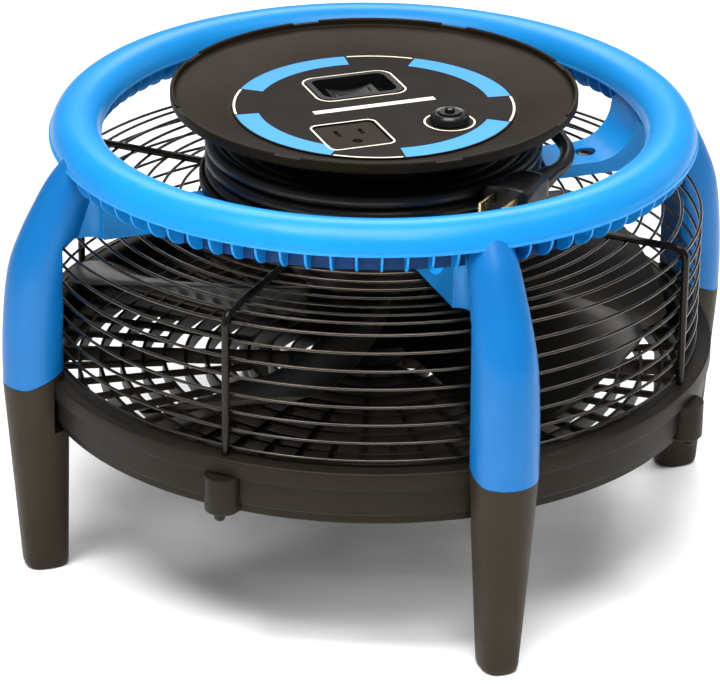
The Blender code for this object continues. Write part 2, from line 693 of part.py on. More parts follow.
def blade_mesh():
    """A cambered blade: its chord widens and its pitch flattens towards the tip."""
    stations = 8
    across = 6
    mesh = bpy.data.meshes.new("fan_blade")
    points = []
    for i in range(stations):
        t = i / (stations - 1)
        radius = FAN_HUB_RADIUS + GAP + (FAN_TIP_RADIUS - FAN_HUB_RADIUS - GAP) * t
        chord = BLADE_ROOT_CHORD + BLADE_CHORD_GAIN * t
        pitch = math.radians(BLADE_ROOT_PITCH - BLADE_PITCH_DROP * t)
        lead = math.radians(BLADE_SWEEP * t)
        for j in range(across):
            s = j / (across - 1) - 0.5
            camber = BLADE_CAMBER * (1 - 4 * s * s)
            along = s * chord * math.cos(pitch) - camber * math.sin(pitch)
            rise = s * chord * math.sin(pitch) + camber * math.cos(pitch)
            angle = lead + along / radius
            points.append((radius * math.cos(angle), radius * math.sin(angle), FAN_MIDDLE + rise))
    faces = []
    for i in range(stations - 1):
        for j in range(across - 1):
            k = i * across + j
            faces.append((k, k + across, k + across + 1, k + 1))
    mesh.from_pydata(points, [], faces)
    mesh.shade_smooth()
    return mesh


# ---- cord reel and control panel ---------------------------------------------------------------------
def make_reel():
    tray = [
        (TRAY_RADIUS, TRAY_FLOOR + 0.0040), (TRAY_RADIUS, TRAY_BOTTOM + 0.0010),
        (TRAY_RADIUS - 0.0010, TRAY_BOTTOM), (0.0150, TRAY_BOTTOM), (0.0150, TRAY_FLOOR),
        (TRAY_RADIUS - 0.0020, TRAY_FLOOR), (TRAY_RADIUS - 0.0020, TRAY_FLOOR + 0.0040),
    ]
    turned("reel_tray", tray, "black_plastic", 40)
    drum_top = PANEL_TOP - DISH_WALL - GAP
    drum = turned("reel_drum", box_profile(DRUM_RADIUS - DRUM_WALL, DRUM_RADIUS,
                                           TRAY_FLOOR + GAP, drum_top), "black_plastic", 48)
    slot = many_boxes("cord_slot", [((0.030, 0.0110, 0.0110), cord_gland_matrix())], CUTTERS)
    cut(drum, slot)


def cord_gland_matrix():
    """Where the cord leaves the drum: a slanting line that crosses the drum's wall."""
    place = polar(DRUM_RADIUS - 0.0030, CORD_START, CORD_FIRST_ROW)
    return Matrix.Translation(place) @ turn(CORD_START - 90 + GLAND_SLANT)


def panel_cutters():
    """The openings in the panel and its label, with clearance round the controls."""
    clear = 0.0005
    height = 0.030
    switch = block("switch_opening", (SWITCH_SIZE[0] + 2 * clear, SWITCH_SIZE[1] + 2 * clear, height),
                   (*SWITCH_CENTRE, PANEL_TOP), None, 0.0065, CUTTERS, 3)
    vertical_edges_only(switch)
    size = OUTLET_SIZE + 2 * clear
    outlet = block("outlet_opening", (size, size, height), (*OUTLET_CENTRE, PANEL_TOP),
                   None, 0.0030, CUTTERS, 2)
    vertical_edges_only(outlet)
    breaker = cylinder("breaker_opening", 0.0061, height, (*BREAKER_CENTRE, PANEL_TOP),
                       None, 20, CUTTERS)
    return switch, outlet, breaker


def vertical_edges_only(thing):
    """Give the upright edges of a box the bevel, and keep its ends square."""
    weights = thing.data.attributes.new("bevel_weight_edge", "FLOAT", "EDGE")
    for edge in thing.data.edges:
        ends = [thing.data.vertices[i].co for i in edge.vertices]
        upright = abs(ends[0].z - ends[1].z) > 1e-6
        weights.data[edge.index].value = 1.0 if upright else 0.0
    thing.modifiers["edges"].limit_method = "WEIGHT"


def make_panel():
    openings = panel_cutters()
    rim_floor = DISH_TOP - 0.0038
    dish = [
        (0.0, PANEL_TOP), (LABEL_RADIUS + 0.0012, PANEL_TOP), (DISH_RADIUS - 0.0042, rim_floor),
        (DISH_RADIUS - 0.0024, rim_floor + 0.0003), (DISH_RADIUS - 0.0022, DISH_TOP),
        (DISH_RADIUS, DISH_TOP), (DISH_RADIUS, rim_floor - 0.0010),
        (DISH_RADIUS - 0.0020, rim_floor - 0.0026), (LABEL_RADIUS + 0.0020, PANEL_TOP - DISH_WALL),
        (0.0, PANEL_TOP - DISH_WALL),
    ]
    panel = turned("top_dish", dish, "panel_black", 40, closed=False)
    gaps = []
    for i in range(LIP_GAPS):
        place = turn(360.0 / LIP_GAPS * i) @ Matrix.Translation((DISH_RADIUS, 0, DISH_TOP))
        gaps.append(((0.012, 0.0150, 0.0044), place))
    cut(panel, many_boxes("lip_gaps", gaps, CUTTERS), *openings)
    label = [(0.0, LABEL_TOP), (LABEL_RADIUS, LABEL_TOP), (LABEL_RADIUS, PANEL_TOP + GAP),
             (0.0, PANEL_TOP + GAP)]
    cut(turned("control_label", label, "label_print", 40, closed=False), *openings)


def make_switch():
    """A deep-set rocker: the well, and the rocker on its pivot."""
    top = LABEL_TOP + 0.0004
    x, y = SWITCH_CENTRE
    well = block("switch_housing", (*SWITCH_SIZE, SWITCH_DEPTH), (x, y, top - SWITCH_DEPTH / 2),
                 "rocker_black", 0.0060, None, 3)
    vertical_edges_only(well)
    hollow = block("switch_well", SWITCH_WELL, (x, y, top + 0.0020), None, 0.0045,
                   CUTTERS, 3)
    vertical_edges_only(hollow)
    slot = block("rocker_slot", ROCKER_SLOT, (x, y, top - 0.0080), None, 0.0, CUTTERS)
    cut(well, hollow, slot)
    side = arc((0.0, -0.0005), 0.0080, 215, 325, 9)
    outline = [(-0.0128, 0.0052), (-0.0136, 0.0020)] + side + [(0.0136, 0.0020), (0.0128, 0.0052),
                                                               (0.0, 0.0030)]
    curve = prism_curve("switch_rocker", outline, ROCKER_WIDTH)
    mesh = mesh_from_curve("switch_rocker", curve, Matrix.Rotation(math.radians(90), 4, "X"))
    rocker = add_object("switch_rocker", mesh, "rocker_black")
    rocker.location = (x, y, ROCKER_PIVOT)
    return rocker


def make_outlet():
    """A mains outlet for a second machine: two slots and an earth hole."""
    x, y = OUTLET_CENTRE
    face = PANEL_TOP + 0.0002
    outlet = block("outlet_receptacle", (OUTLET_SIZE, OUTLET_SIZE, 0.0024),
                   (x, y, face - 0.0012), "panel_black", 0.0026, None, 2)
    vertical_edges_only(outlet)
    body = block("outlet_body", OUTLET_BODY, (x, y, face - 0.0115), None, 0.0, CUTTERS)
    join(outlet, body)
    slots = []
    for side, length in zip((-1, 1), OUTLET_SLOT_LENGTHS):
        place = Matrix.Translation((x + side * SLOT_SPACING / 2, y + 0.0045, face))
        slots.append(((OUTLET_SLOT_WIDTH, length, OUTLET_HOLE_DEPTH), place))
    earth = cylinder("earth_hole", OUTLET_EARTH_RADIUS, OUTLET_HOLE_DEPTH, (x, y - 0.0074, face),
                     None, 14, CUTTERS)
    cut(outlet, many_boxes("outlet_slots", slots, CUTTERS), earth)


def make_breaker():
    """A push-to-reset breaker: body, knurled nut and button."""
    x, y = BREAKER_CENTRE
    neck_top = LABEL_TOP + 0.0056
    body = [
        (0.0, BREAKER_BORE_BOTTOM), (0.0028, BREAKER_BORE_BOTTOM), (0.0028, neck_top), (0.0056, neck_top),
        (0.0056, PANEL_TOP - DISH_WALL - GAP), (0.0085, PANEL_TOP - DISH_WALL - GAP),
        (0.0085, BREAKER_BOTTOM), (0.0, BREAKER_BOTTOM),
    ]
    breaker = turned("breaker_body", body, "rocker_black", 16, closed=False)
    breaker.location = (x, y, 0)
    nut = turned("breaker_nut", [(0.0078, LABEL_TOP + 0.0052), (0.0096, LABEL_TOP + 0.0030),
                                 (0.0100, LABEL_TOP + GAP), (0.0060, LABEL_TOP + GAP),
                                 (0.0060, LABEL_TOP + 0.0052)], "rocker_black", 16)
    nut.location = (x, y, 0)
    button = turned("breaker_button", [(0.0, BUTTON_TOP), (0.0018, BUTTON_TOP),
                                       (0.0025, BUTTON_TOP - 0.0006), (0.0025, BUTTON_BOTTOM),
                                       (0.0, BUTTON_BOTTOM)], "rocker_black", 16, closed=False)
    button.location = (x, y, 0)


def make_capacitor():
    """The motor's run capacitor, standing on the tray inside the drum."""
    height = TRAY_FLOOR + GAP + CAPACITOR_SIZE[2] / 2
    block("run_capacitor", CAPACITOR_SIZE, (*CAPACITOR_PLACE, height), "black_plastic", 0.0015)


# ---- power cord ----------------------------------------------------------------------------------------
def smooth_route(points, count):
    """Points at even steps of parameter on a Catmull-Rom curve through the route's own points."""
    padded = [points[0] * 2 - points[1]] + points + [points[-1] * 2 - points[-2]]
    spans = len(points) - 1
    made = []
    for i in range(count):
        t = spans * i / (count - 1)
        k = min(int(t), spans - 1)
        u = t - k
        a, b, c, d = padded[k:k + 4]
        made.append(0.5 * ((2 * b) + (c - a) * u + (2 * a - 5 * b + 4 * c - d) * u * u
                           + (3 * b - a - 3 * c + d) * u * u * u))
    return made


def coil_outer_radius():
    return DRUM_RADIUS + GAP + CORD_LAYERS * CORD_PITCH


def plug_matrix():
    """The plug lies along the coil, its blades towards the front."""
    return (Matrix.Translation(polar(PLUG_DISTANCE, PLUG_ANGLE, PLUG_HEIGHT))
            @ turn(PLUG_ANGLE - 90.0 + PLUG_YAW))


def lead_route():
    """From the outer face of the coil to the back of the plug, by hand-chosen points."""
    start = coil_outer_radius() + GAP + CORD_RADIUS
    back = plug_matrix() @ Vector((-PLUG_LENGTH / 2 - SLEEVE_LENGTH - 2 * GAP, 0, 0))
    before = plug_matrix() @ Vector((-PLUG_LENGTH / 2 - SLEEVE_LENGTH - 0.015, 0, 0))
    return [polar(start, 38.0, 0.2131), polar(start + 0.0001, 25.0, 0.2132),
            polar(start + 0.0006, 11.0, 0.2132), polar(start + 0.0015, -1.0, 0.2131),
            polar(start + 0.0034, -12.0, 0.2128), polar(start + 0.0084, -25.0, 0.2119),
            before, back]


def make_cord():
    low = TRAY_FLOOR + GAP
    high = low + CORD_ROWS * CORD_PITCH + 0.0004
    turned("power_cord_coil", box_profile(DRUM_RADIUS + GAP, coil_outer_radius(), low, high),
           "black_rubber", 40)
    points = smooth_route(lead_route(), LEAD_POINTS)
    add_object("power_cord_lead", tube_curve("power_cord_lead", points, CORD_RADIUS), "black_rubber")
    profile = [(0.0, 0.0), (0.0039, 0.0), (0.0039, -0.0040), (0.0034, -GLAND_LENGTH),
               (0.0, -GLAND_LENGTH)]
    gland = turned("cord_strain_relief", profile, "black_rubber", 16, closed=False)
    lay_flat = Matrix.Rotation(math.radians(90), 4, "Y")
    gland.matrix_world = cord_gland_matrix() @ Matrix.Translation((-0.0030, 0, 0)) @ lay_flat


def make_plug():
    """The moulded plug: tapered body and sleeve, two blades and an earth pin."""
    frame = plug_matrix()
    half = PLUG_LENGTH / 2
    bm = bmesh.new()
    bmesh.ops.create_cube(bm, size=1.0, matrix=Matrix.Diagonal((PLUG_LENGTH, PLUG_WIDTH, PLUG_DEPTH, 1)))
    for vertex in bm.verts:
        if vertex.co.x < 0:
            vertex.co.y *= 0.62
            vertex.co.z *= 0.70
    body = mesh_object("plug_body", bm, "black_rubber")
    round_edges(body, 0.0030, 2)
    body.matrix_world = frame
    sleeve = cylinder("plug_sleeve", 0.0048, SLEEVE_LENGTH + 0.004, (0, 0, 0), None, 14, CUTTERS, 0.0062)
    sleeve.matrix_world = (frame @ Matrix.Translation((-half - SLEEVE_LENGTH / 2 + 0.002, 0, 0))
                           @ Matrix.Rotation(math.radians(90), 4, "Y"))
    join(body, sleeve)
    for i, side in enumerate((-1, 1)):
        blade = block("plug_blade_%d" % (i + 1), (0.0160, 0.0015, 0.0063), (0, 0, 0), "brass", 0.0005)
        blade.matrix_world = frame @ Matrix.Translation((half + GAP + 0.0080, side * SLOT_SPACING / 2,
                                                         PLUG_BLADE_RISE))
    pin = cylinder("plug_ground_pin", 0.0024, 0.0190, (0, 0, 0), "brass", 12)
    pin.matrix_world = (frame @ Matrix.Translation((half + GAP + 0.0095, 0, -PLUG_PIN_DROP))
                        @ Matrix.Rotation(math.radians(90), 4, "Y"))


# ---- build -------------------------------------------------------------------------------------------
clear_scene()
PARTS = make_collection("axial_air_mover")
CUTTERS = make_collection("cutters")
MATERIALS = make_materials()

ring_space, base_space = make_legs()
make_handle_part("handle_ring_back_right", 1, 1)
make_handle_part("handle_ring_back_left", 1, -1)
make_handle_part("handle_ring_front", -1)
make_arm_spider(ring_space)
make_screws()
make_feet(base_space)
make_base_ring()
make_guard_screws()
make_outlet_grille()
make_guard()
make_motor()
make_fan()
make_reel()
make_panel()
make_switch()
make_outlet()
make_breaker()
make_capacitor()
make_cord()
make_plug()
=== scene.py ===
"""The looks of the axial air mover: camera, cord, blue moulding, guard, fan, reel and panel."""
import math

import bmesh
import bpy
from mathutils import Matrix, Vector


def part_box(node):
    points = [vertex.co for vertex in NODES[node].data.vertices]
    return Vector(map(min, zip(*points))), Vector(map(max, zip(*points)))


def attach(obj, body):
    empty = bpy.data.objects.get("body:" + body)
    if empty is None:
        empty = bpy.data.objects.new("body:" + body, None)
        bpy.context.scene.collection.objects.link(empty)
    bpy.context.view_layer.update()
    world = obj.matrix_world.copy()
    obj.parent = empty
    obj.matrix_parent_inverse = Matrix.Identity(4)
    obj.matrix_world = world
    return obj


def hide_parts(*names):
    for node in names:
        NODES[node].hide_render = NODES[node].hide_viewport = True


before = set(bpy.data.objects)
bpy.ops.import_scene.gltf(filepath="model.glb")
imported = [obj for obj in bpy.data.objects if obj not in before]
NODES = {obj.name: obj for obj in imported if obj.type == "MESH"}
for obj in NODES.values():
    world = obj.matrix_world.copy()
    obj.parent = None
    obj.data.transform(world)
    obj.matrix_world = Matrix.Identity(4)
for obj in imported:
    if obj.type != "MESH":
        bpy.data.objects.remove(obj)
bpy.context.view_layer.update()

# ---- sizes in metres and angles in degrees, read from the frame where it has them
GAP = 0.0003                              # between pieces that touch
ROUND = 240                               # segments of the large rings
UPRIGHT = Matrix.Rotation(math.radians(90), 4, "X")
RING_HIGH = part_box("handle_ring_back_right")[1]
RING_TUBE = 0.0131
RING_RADIUS = RING_HIGH.x - RING_TUBE
RING_HEIGHT = RING_HIGH.z - RING_TUBE
RING_WALL = 0.0028
RIB_COUNT = 84
RIB_THICKNESS = 0.0013
RIB_FREE_ANGLE = 6.4                      # degrees each side of a leg that have no ribs

LEG_LOW, LEG_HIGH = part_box("leg_right")
LEG_BOTTOM = LEG_LOW.z
LEG_RADIUS = 0.0169
LEG_CENTRE = LEG_HIGH.x - LEG_RADIUS
GUARD_CLEARANCE = 0.1713                  # legs and feet stay outside this radius
JOINT_START = 0.0092                      # the joint with the foot climbs from here to the back
JOINT_SLOPE = 0.44
JOINT_FADE = 0.0240

ARM_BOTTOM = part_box("arm_spider")[0].z
ARM_TOP = ARM_BOTTOM + 0.0069
ARM_HALF_WIDTH = 0.0154
ARM_SCREW_REACH = 0.1190
HUB_PLATE_RADIUS = 0.048

FOOT_TOP = LEG_BOTTOM - GAP
FOOT_CENTRE = 0.1795
FOOT_HALF_LENGTH = 0.0114
FOOT_HALF_WIDTH = 0.0094

BASE_LOW, BASE_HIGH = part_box("base_ring")
BASE_RIM_RADIUS = 0.1777
BASE_RIM_BOTTOM = 0.1005
LUG_BOTTOM = 0.0815
LUG_REACH = 0.1757
LUG_RADIUS = 0.0090

GUARD_RADIUS = 0.1693
GUARD_TOP = 0.1815
GUARD_WIRE = 0.0008                       # radius of a ring wire
SPOKE_WIRE = 0.00195                      # radius of a spoke
GUARD_PITCH = 0.00955
TOP_PITCH = 0.0099
SIDE_RINGS = 8
TOP_RINGS = 12

MOTOR_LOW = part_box("motor_housing")[0].z
MOTOR_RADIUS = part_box("motor_housing")[1].x
HUB_LOW, HUB_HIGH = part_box("fan_hub")
BLADE_TIP = 0.1576
BLADE_COUNT = 5
BLADE_START = 20.0
FAN_MIDDLE = 0.1225

DISH_LOW, DISH_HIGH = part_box("top_dish")
DISH_RADIUS = DISH_HIGH.x
PANEL_TOP = 0.2310
LABEL_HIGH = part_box("control_label")[1]
LABEL_TOP = LABEL_HIGH.z
LABEL_RADIUS = LABEL_HIGH.x
LABEL_ARC = 0.0660                        # radius of the blue arcs' middle line
LABEL_LINE = 0.0005                       # half the width of a printed outline
TRAY_LOW, TRAY_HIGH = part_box("reel_tray")
TRAY_FLOOR = 0.0020                       # thickness
DRUM_LOW, DRUM_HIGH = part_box("reel_drum")

SWITCH_CENTRE = (0.0, 0.0292)
OUTLET_CENTRE = (-0.0246, -0.0346)
BREAKER_CENTRE = (0.028, -0.034)
BREAKER_NECK = 0.0061                     # radius of the hole for its neck

CORD_RADIUS = 0.0038
CORD_PITCH = 0.0078
CORD_START = 65.0                         # where the cord leaves the drum, in degrees
GLAND_SLANT = 28.0
FIRST_ROW = TRAY_LOW.z + TRAY_FLOOR + GAP + CORD_PITCH / 2 + 0.0002
FIRST_LAYER = DRUM_HIGH.x + GAP + CORD_PITCH / 2
LEAD_ROUTE = ((0.0, 50.0, 0.2131), (0.0, 38.0, 0.2131), (0.0001, 25.0, 0.2132),
              (0.0006, 11.0, 0.2132), (0.0015, -1.0, 0.2131), (0.0034, -12.0, 0.2128),
              (0.0084, -25.0, 0.2119))    # out from the coil, degrees, height
PLUG_SIZE = (0.036, 0.0255, 0.0215)
PLUG_PLACE = (0.0990, -62.5, 0.2105)      # radius, degrees, height
PLUG_TURN = -139.5
SLEEVE_LENGTH = 0.0130

RING_NODES = ("handle_ring_back_right", "handle_ring_back_left", "handle_ring_front")
SIDES = {"right": 0.0, "back": 90.0, "left": 180.0, "front": 270.0}
CORNERS = {"right_back": 45.0, "left_back": 135.0, "left_front": 225.0, "right_front": 315.0}


# ---- small helpers
def polar(radius, degrees, height=0.0):
    """The point at a radius, an angle round the axis and a height."""
    angle = math.radians(degrees)
    return Vector((radius * math.cos(angle), radius * math.sin(angle), height))


def turn(degrees):
    """A turn about the axis."""
    return Matrix.Rotation(math.radians(degrees), 4, "Z")


def shift(x, y=0.0, z=0.0):
    """A move by x, y and z."""
    return Matrix.Translation((x, y, z))


def arc(centre, radius, start, end, count):
    """Evenly spaced 2-D points on an arc, from one angle to another in degrees."""
    made = []
    for i in range(count):
        angle = math.radians(start + (end - start) * i / (count - 1))
        made.append((centre[0] + radius * math.cos(angle), centre[1] + radius * math.sin(angle)))
    return made


def circle(count):
    """Cosine and sine of evenly spaced angles once round."""
    return [(math.cos(math.tau * i / count), math.sin(math.tau * i / count)) for i in range(count)]


def squared(value, power):
    """A cosine or sine pushed towards the corners of its square."""
    return math.copysign(abs(value) ** power, value)


def smooth_step(value):
    """0 to 1 with no kink at either end."""
    t = max(0.0, min(1.0, value))
    return t * t * (3 - 2 * t)


def spline_at(points, t):
    """The point t spans along the Catmull-Rom curve through the given points."""
    padded = [points[0] * 2 - points[1]] + points + [points[-1] * 2 - points[-2]]
    spans = len(points) - 1
    k = min(int(t), spans - 1)
    u = t - k
    a, b, c, d = padded[k:k + 4]
    return 0.5 * ((2 * b) + (c - a) * u + (2 * a - 5 * b + 4 * c - d) * u * u
                  + (3 * b - a - 3 * c + d) * u * u * u)


def add_object(name, data):
    """A new object in the scene."""
    thing = bpy.data.objects.new(name, data)
    bpy.context.scene.collection.objects.link(thing)
    return thing


def finish_piece(piece, material, body="frame", stands_for=()):
    """Give a piece its material, its body, and the CAD nodes that it stands for."""
    piece.data.materials.clear()
    piece.data.materials.append(material)
    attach(piece, body)
    if stands_for:
        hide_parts(*stands_for)


def mesh_from(bm, name, smooth=35.0):
    """An object from a bmesh, smooth but for edges sharper than an angle."""
    mesh = bpy.data.meshes.new(name)
    bmesh.ops.recalc_face_normals(bm, faces=bm.faces)
    bm.to_mesh(mesh)
    bm.free()
    mesh.shade_smooth()
    mesh.set_sharp_from_angle(angle=math.radians(smooth))
    return add_object(name, mesh)


def bevel(thing, width, segments=3, angle=32.0):
    """Round a piece's sharp edges."""
    edges = thing.modifiers.new("edges", "BEVEL")
    edges.width = width
    edges.segments = segments
    edges.limit_method = "ANGLE"
    edges.angle_limit = math.radians(angle)
    edges.harden_normals = True
    return thing


def dress(name, material, width=0.0):
    """Keep a CAD node, with a finer edge and a better material."""
    node = NODES[name]
    node.data.materials.clear()
    node.data.materials.append(material)
    if width:
        bevel(node, width)


def lathe(profile, segments=128, closed=True, bm=None, matrix=None):
    """Turn a profile of (radius, height) points about Z into a bmesh; open ends lie on the axis."""
    bm = bm or bmesh.new()
    rows = []
    for c, s in circle(segments):
        row = []
        for k, (radius, height) in enumerate(profile):
            if radius < 1e-6:
                row.append(rows[0][k] if rows else bm.verts.new((0, 0, height)))
            else:
                row.append(bm.verts.new((radius * c, radius * s, height)))
        rows.append(row)
    last = len(profile) if closed else len(profile) - 1
    for i in range(segments):
        a = rows[i]
        b = rows[(i + 1) % segments]
        for k in range(last):
            n = (k + 1) % len(profile)
            corners = [a[k], a[n], b[n], b[k]]
            unique = list(dict.fromkeys(corners))
            if len(unique) > 2:
                bm.faces.new(unique)
    if matrix:
        fresh = list({v for row in rows for v in row})
        bmesh.ops.transform(bm, matrix=matrix, verts=fresh)
    return bm


def loft(sections, bm=None, caps=True):
    """Skin between loops of points that all have the same count."""
    bm = bm or bmesh.new()
    loops = [[bm.verts.new(p) for p in section] for section in sections]
    for a, b in zip(loops, loops[1:]):
        for k in range(len(a)):
            n = (k + 1) % len(a)
            bm.faces.new((a[k], a[n], b[n], b[k]))
    if caps:
        bm.faces.new(loops[0])
        bm.faces.new(list(reversed(loops[-1])))
    return bm


def rounded_box(bm, size, matrix, radius, segments=3):
    """A box with all its edges rounded, added to a bmesh."""
    made = bmesh.new()
    bmesh.ops.create_cube(made, size=1.0, matrix=Matrix.Diagonal((*size, 1.0)))
    bmesh.ops.bevel(made, geom=made.edges[:], offset=radius, segments=segments, profile=0.5,
                    affect="EDGES")
    bmesh.ops.transform(made, matrix=matrix, verts=made.verts)
    holder = bpy.data.meshes.new("holder")
    made.to_mesh(holder)
    made.free()
    bm.from_mesh(holder)
    bpy.data.meshes.remove(holder)


def prism(outline, thickness, matrix, bm=None):
    """A flat outline in XY given a thickness along Z, then placed."""
    bm = bm or bmesh.new()
    low = [bm.verts.new(matrix @ Vector((x, y, -thickness / 2))) for x, y in outline]
    high = [bm.verts.new(matrix @ Vector((x, y, thickness / 2))) for x, y in outline]
    for k in range(len(low)):
        n = (k + 1) % len(low)
        bm.faces.new((low[k], low[n], high[n], high[k]))
    bm.faces.new(list(reversed(low)))
    bm.faces.new(high)
    return bm


def cut(thing, cutter):
    """Cut a piece by another object, apply it, and remove the cutter."""
    change = thing.modifiers.new("cut", "BOOLEAN")
    change.operation = "DIFFERENCE"
    change.solver = "EXACT"
    change.object = cutter
    bpy.context.view_layer.update()
    evaluated = thing.evaluated_get(bpy.context.evaluated_depsgraph_get())
    mesh = bpy.data.meshes.new_from_object(evaluated)
    thing.modifiers.clear()
    thing.data = mesh
    bpy.data.objects.remove(cutter, do_unlink=True)
    mesh.shade_smooth()
    mesh.set_sharp_from_angle(angle=math.radians(32))


def wire_curve(name, splines, radius, resolution=4):
    """One curve object of round wires; each spline is (points, whether it is a closed loop)."""
    curve = bpy.data.curves.new(name, "CURVE")
    curve.dimensions = "3D"
    curve.bevel_depth = radius
    curve.bevel_resolution = resolution
    curve.use_fill_caps = True
    for points, cyclic in splines:
        spline = curve.splines.new("POLY")
        spline.points.add(len(points) - 1)
        for i, point in enumerate(points):
            spline.points[i].co = (*point, 1.0)
        spline.use_cyclic_u = cyclic
        spline.use_smooth = True
    return add_object(name, curve)


def smooth_route(points, count):
    """Points on a smooth curve through the route's own points."""
    return [spline_at(points, (len(points) - 1) * i / (count - 1)) for i in range(count)]


# ---- materials
class Shader:
    """A Principled material with short ways to add nodes."""

    def __init__(self, name, roughness, metallic=0.0, specular=0.5, coat=0.0, coat_roughness=0.1):
        self.material = bpy.data.materials.new(name)
        self.material.use_nodes = True
        self.nodes = self.material.node_tree.nodes
        self.links = self.material.node_tree.links
        self.out = self.nodes["Principled BSDF"]
        for key, value in (("Roughness", roughness), ("Metallic", metallic),
                           ("Specular IOR Level", specular), ("Coat Weight", coat),
                           ("Coat Roughness", coat_roughness)):
            self.out.inputs[key].default_value = value
        self.where = self.nodes.new("ShaderNodeTexCoord").outputs["Object"]

    def noise(self, scale, detail=3.0, stretch=None):
        node = self.nodes.new("ShaderNodeTexNoise")
        node.inputs["Scale"].default_value = scale
        node.inputs["Detail"].default_value = detail
        if stretch:
            mapping = self.nodes.new("ShaderNodeMapping")
            mapping.inputs["Scale"].default_value = stretch
            self.links.new(self.where, mapping.inputs["Vector"])
            self.links.new(mapping.outputs["Vector"], node.inputs["Vector"])
        else:
            self.links.new(self.where, node.inputs["Vector"])
        return node.outputs["Fac"]

    def ramp(self, value, low, high, start=0.35, end=0.65):
        node = self.nodes.new("ShaderNodeValToRGB")
        for stop, place, tone in zip(node.color_ramp.elements, (start, end), (low, high)):
            stop.position = place
            stop.color = tone
        self.links.new(value, node.inputs["Fac"])
        return node.outputs["Color"]

    def mix(self, factor, low, high):
        node = self.nodes.new("ShaderNodeMix")
        node.data_type = "RGBA"
        self.links.new(factor, node.inputs["Factor"])
        for value, key in ((low, 6), (high, 7)):
            if isinstance(value, tuple):
                node.inputs[key].default_value = value
            else:
                self.links.new(value, node.inputs[key])
        return node.outputs[2]

    def math(self, operation, a, b=None, clamp=False):
        node = self.nodes.new("ShaderNodeMath")
        node.operation = operation
        node.use_clamp = clamp
        for i, value in enumerate((a, b)):
            if value is None:
                continue
            if isinstance(value, (int, float)):
                node.inputs[i].default_value = value
            else:
                self.links.new(value, node.inputs[i])
        return node.outputs[0]

    def hypot(self, a, b):
        squares = self.math("ADD", self.math("MULTIPLY", a, a), self.math("MULTIPLY", b, b))
        return self.math("SQRT", squares)

    def axes(self):
        node = self.nodes.new("ShaderNodeSeparateXYZ")
        self.links.new(self.where, node.inputs[0])
        return node.outputs[0], node.outputs[1]

    def colour(self, value):
        if isinstance(value, tuple):
            self.out.inputs["Base Color"].default_value = value
        else:
            self.links.new(value, self.out.inputs["Base Color"])

    def roughness(self, value, low, high):
        node = self.nodes.new("ShaderNodeMapRange")
        node.inputs["To Min"].default_value = low
        node.inputs["To Max"].default_value = high
        self.links.new(value, node.inputs["Value"])
        self.links.new(node.outputs["Result"], self.out.inputs["Roughness"])

    def bump(self, value, strength, distance):
        node = self.nodes.new("ShaderNodeBump")
        node.inputs["Strength"].default_value = strength
        node.inputs["Distance"].default_value = distance
        self.links.new(value, node.inputs["Height"])
        self.links.new(node.outputs["Normal"], self.out.inputs["Normal"])


def moulded(name, dark, light, rough, grain=0.12, coat=0.0, specular=0.5, tint=(1, 1, 1, 1)):
    """Moulded plastic: slow colour drift, a fine grain, and roughness that follows both."""
    shader = Shader(name, rough[0], coat=coat, coat_roughness=0.22, specular=specular)
    shader.out.inputs["Specular Tint"].default_value = tint
    shader.colour(shader.ramp(shader.noise(26.0, 4.0), dark, light, 0.30, 0.70))
    shader.roughness(shader.noise(190.0, 4.0), rough[0], rough[1])
    shader.bump(shader.noise(2100.0, 2.0), grain, 0.00012)
    return shader.material


def metal(name, dark, light, rough, stretch=None, scale=900.0):
    """Bare metal with fine scratches, drawn out along an axis if stretched."""
    shader = Shader(name, rough[0], metallic=1.0)
    shader.colour(shader.ramp(shader.noise(120.0, 3.0), dark, light))
    shader.roughness(shader.noise(scale, 3.0, stretch), rough[0], rough[1])
    shader.bump(shader.noise(scale, 2.0, stretch), 0.08, 0.00008)
    return shader.material


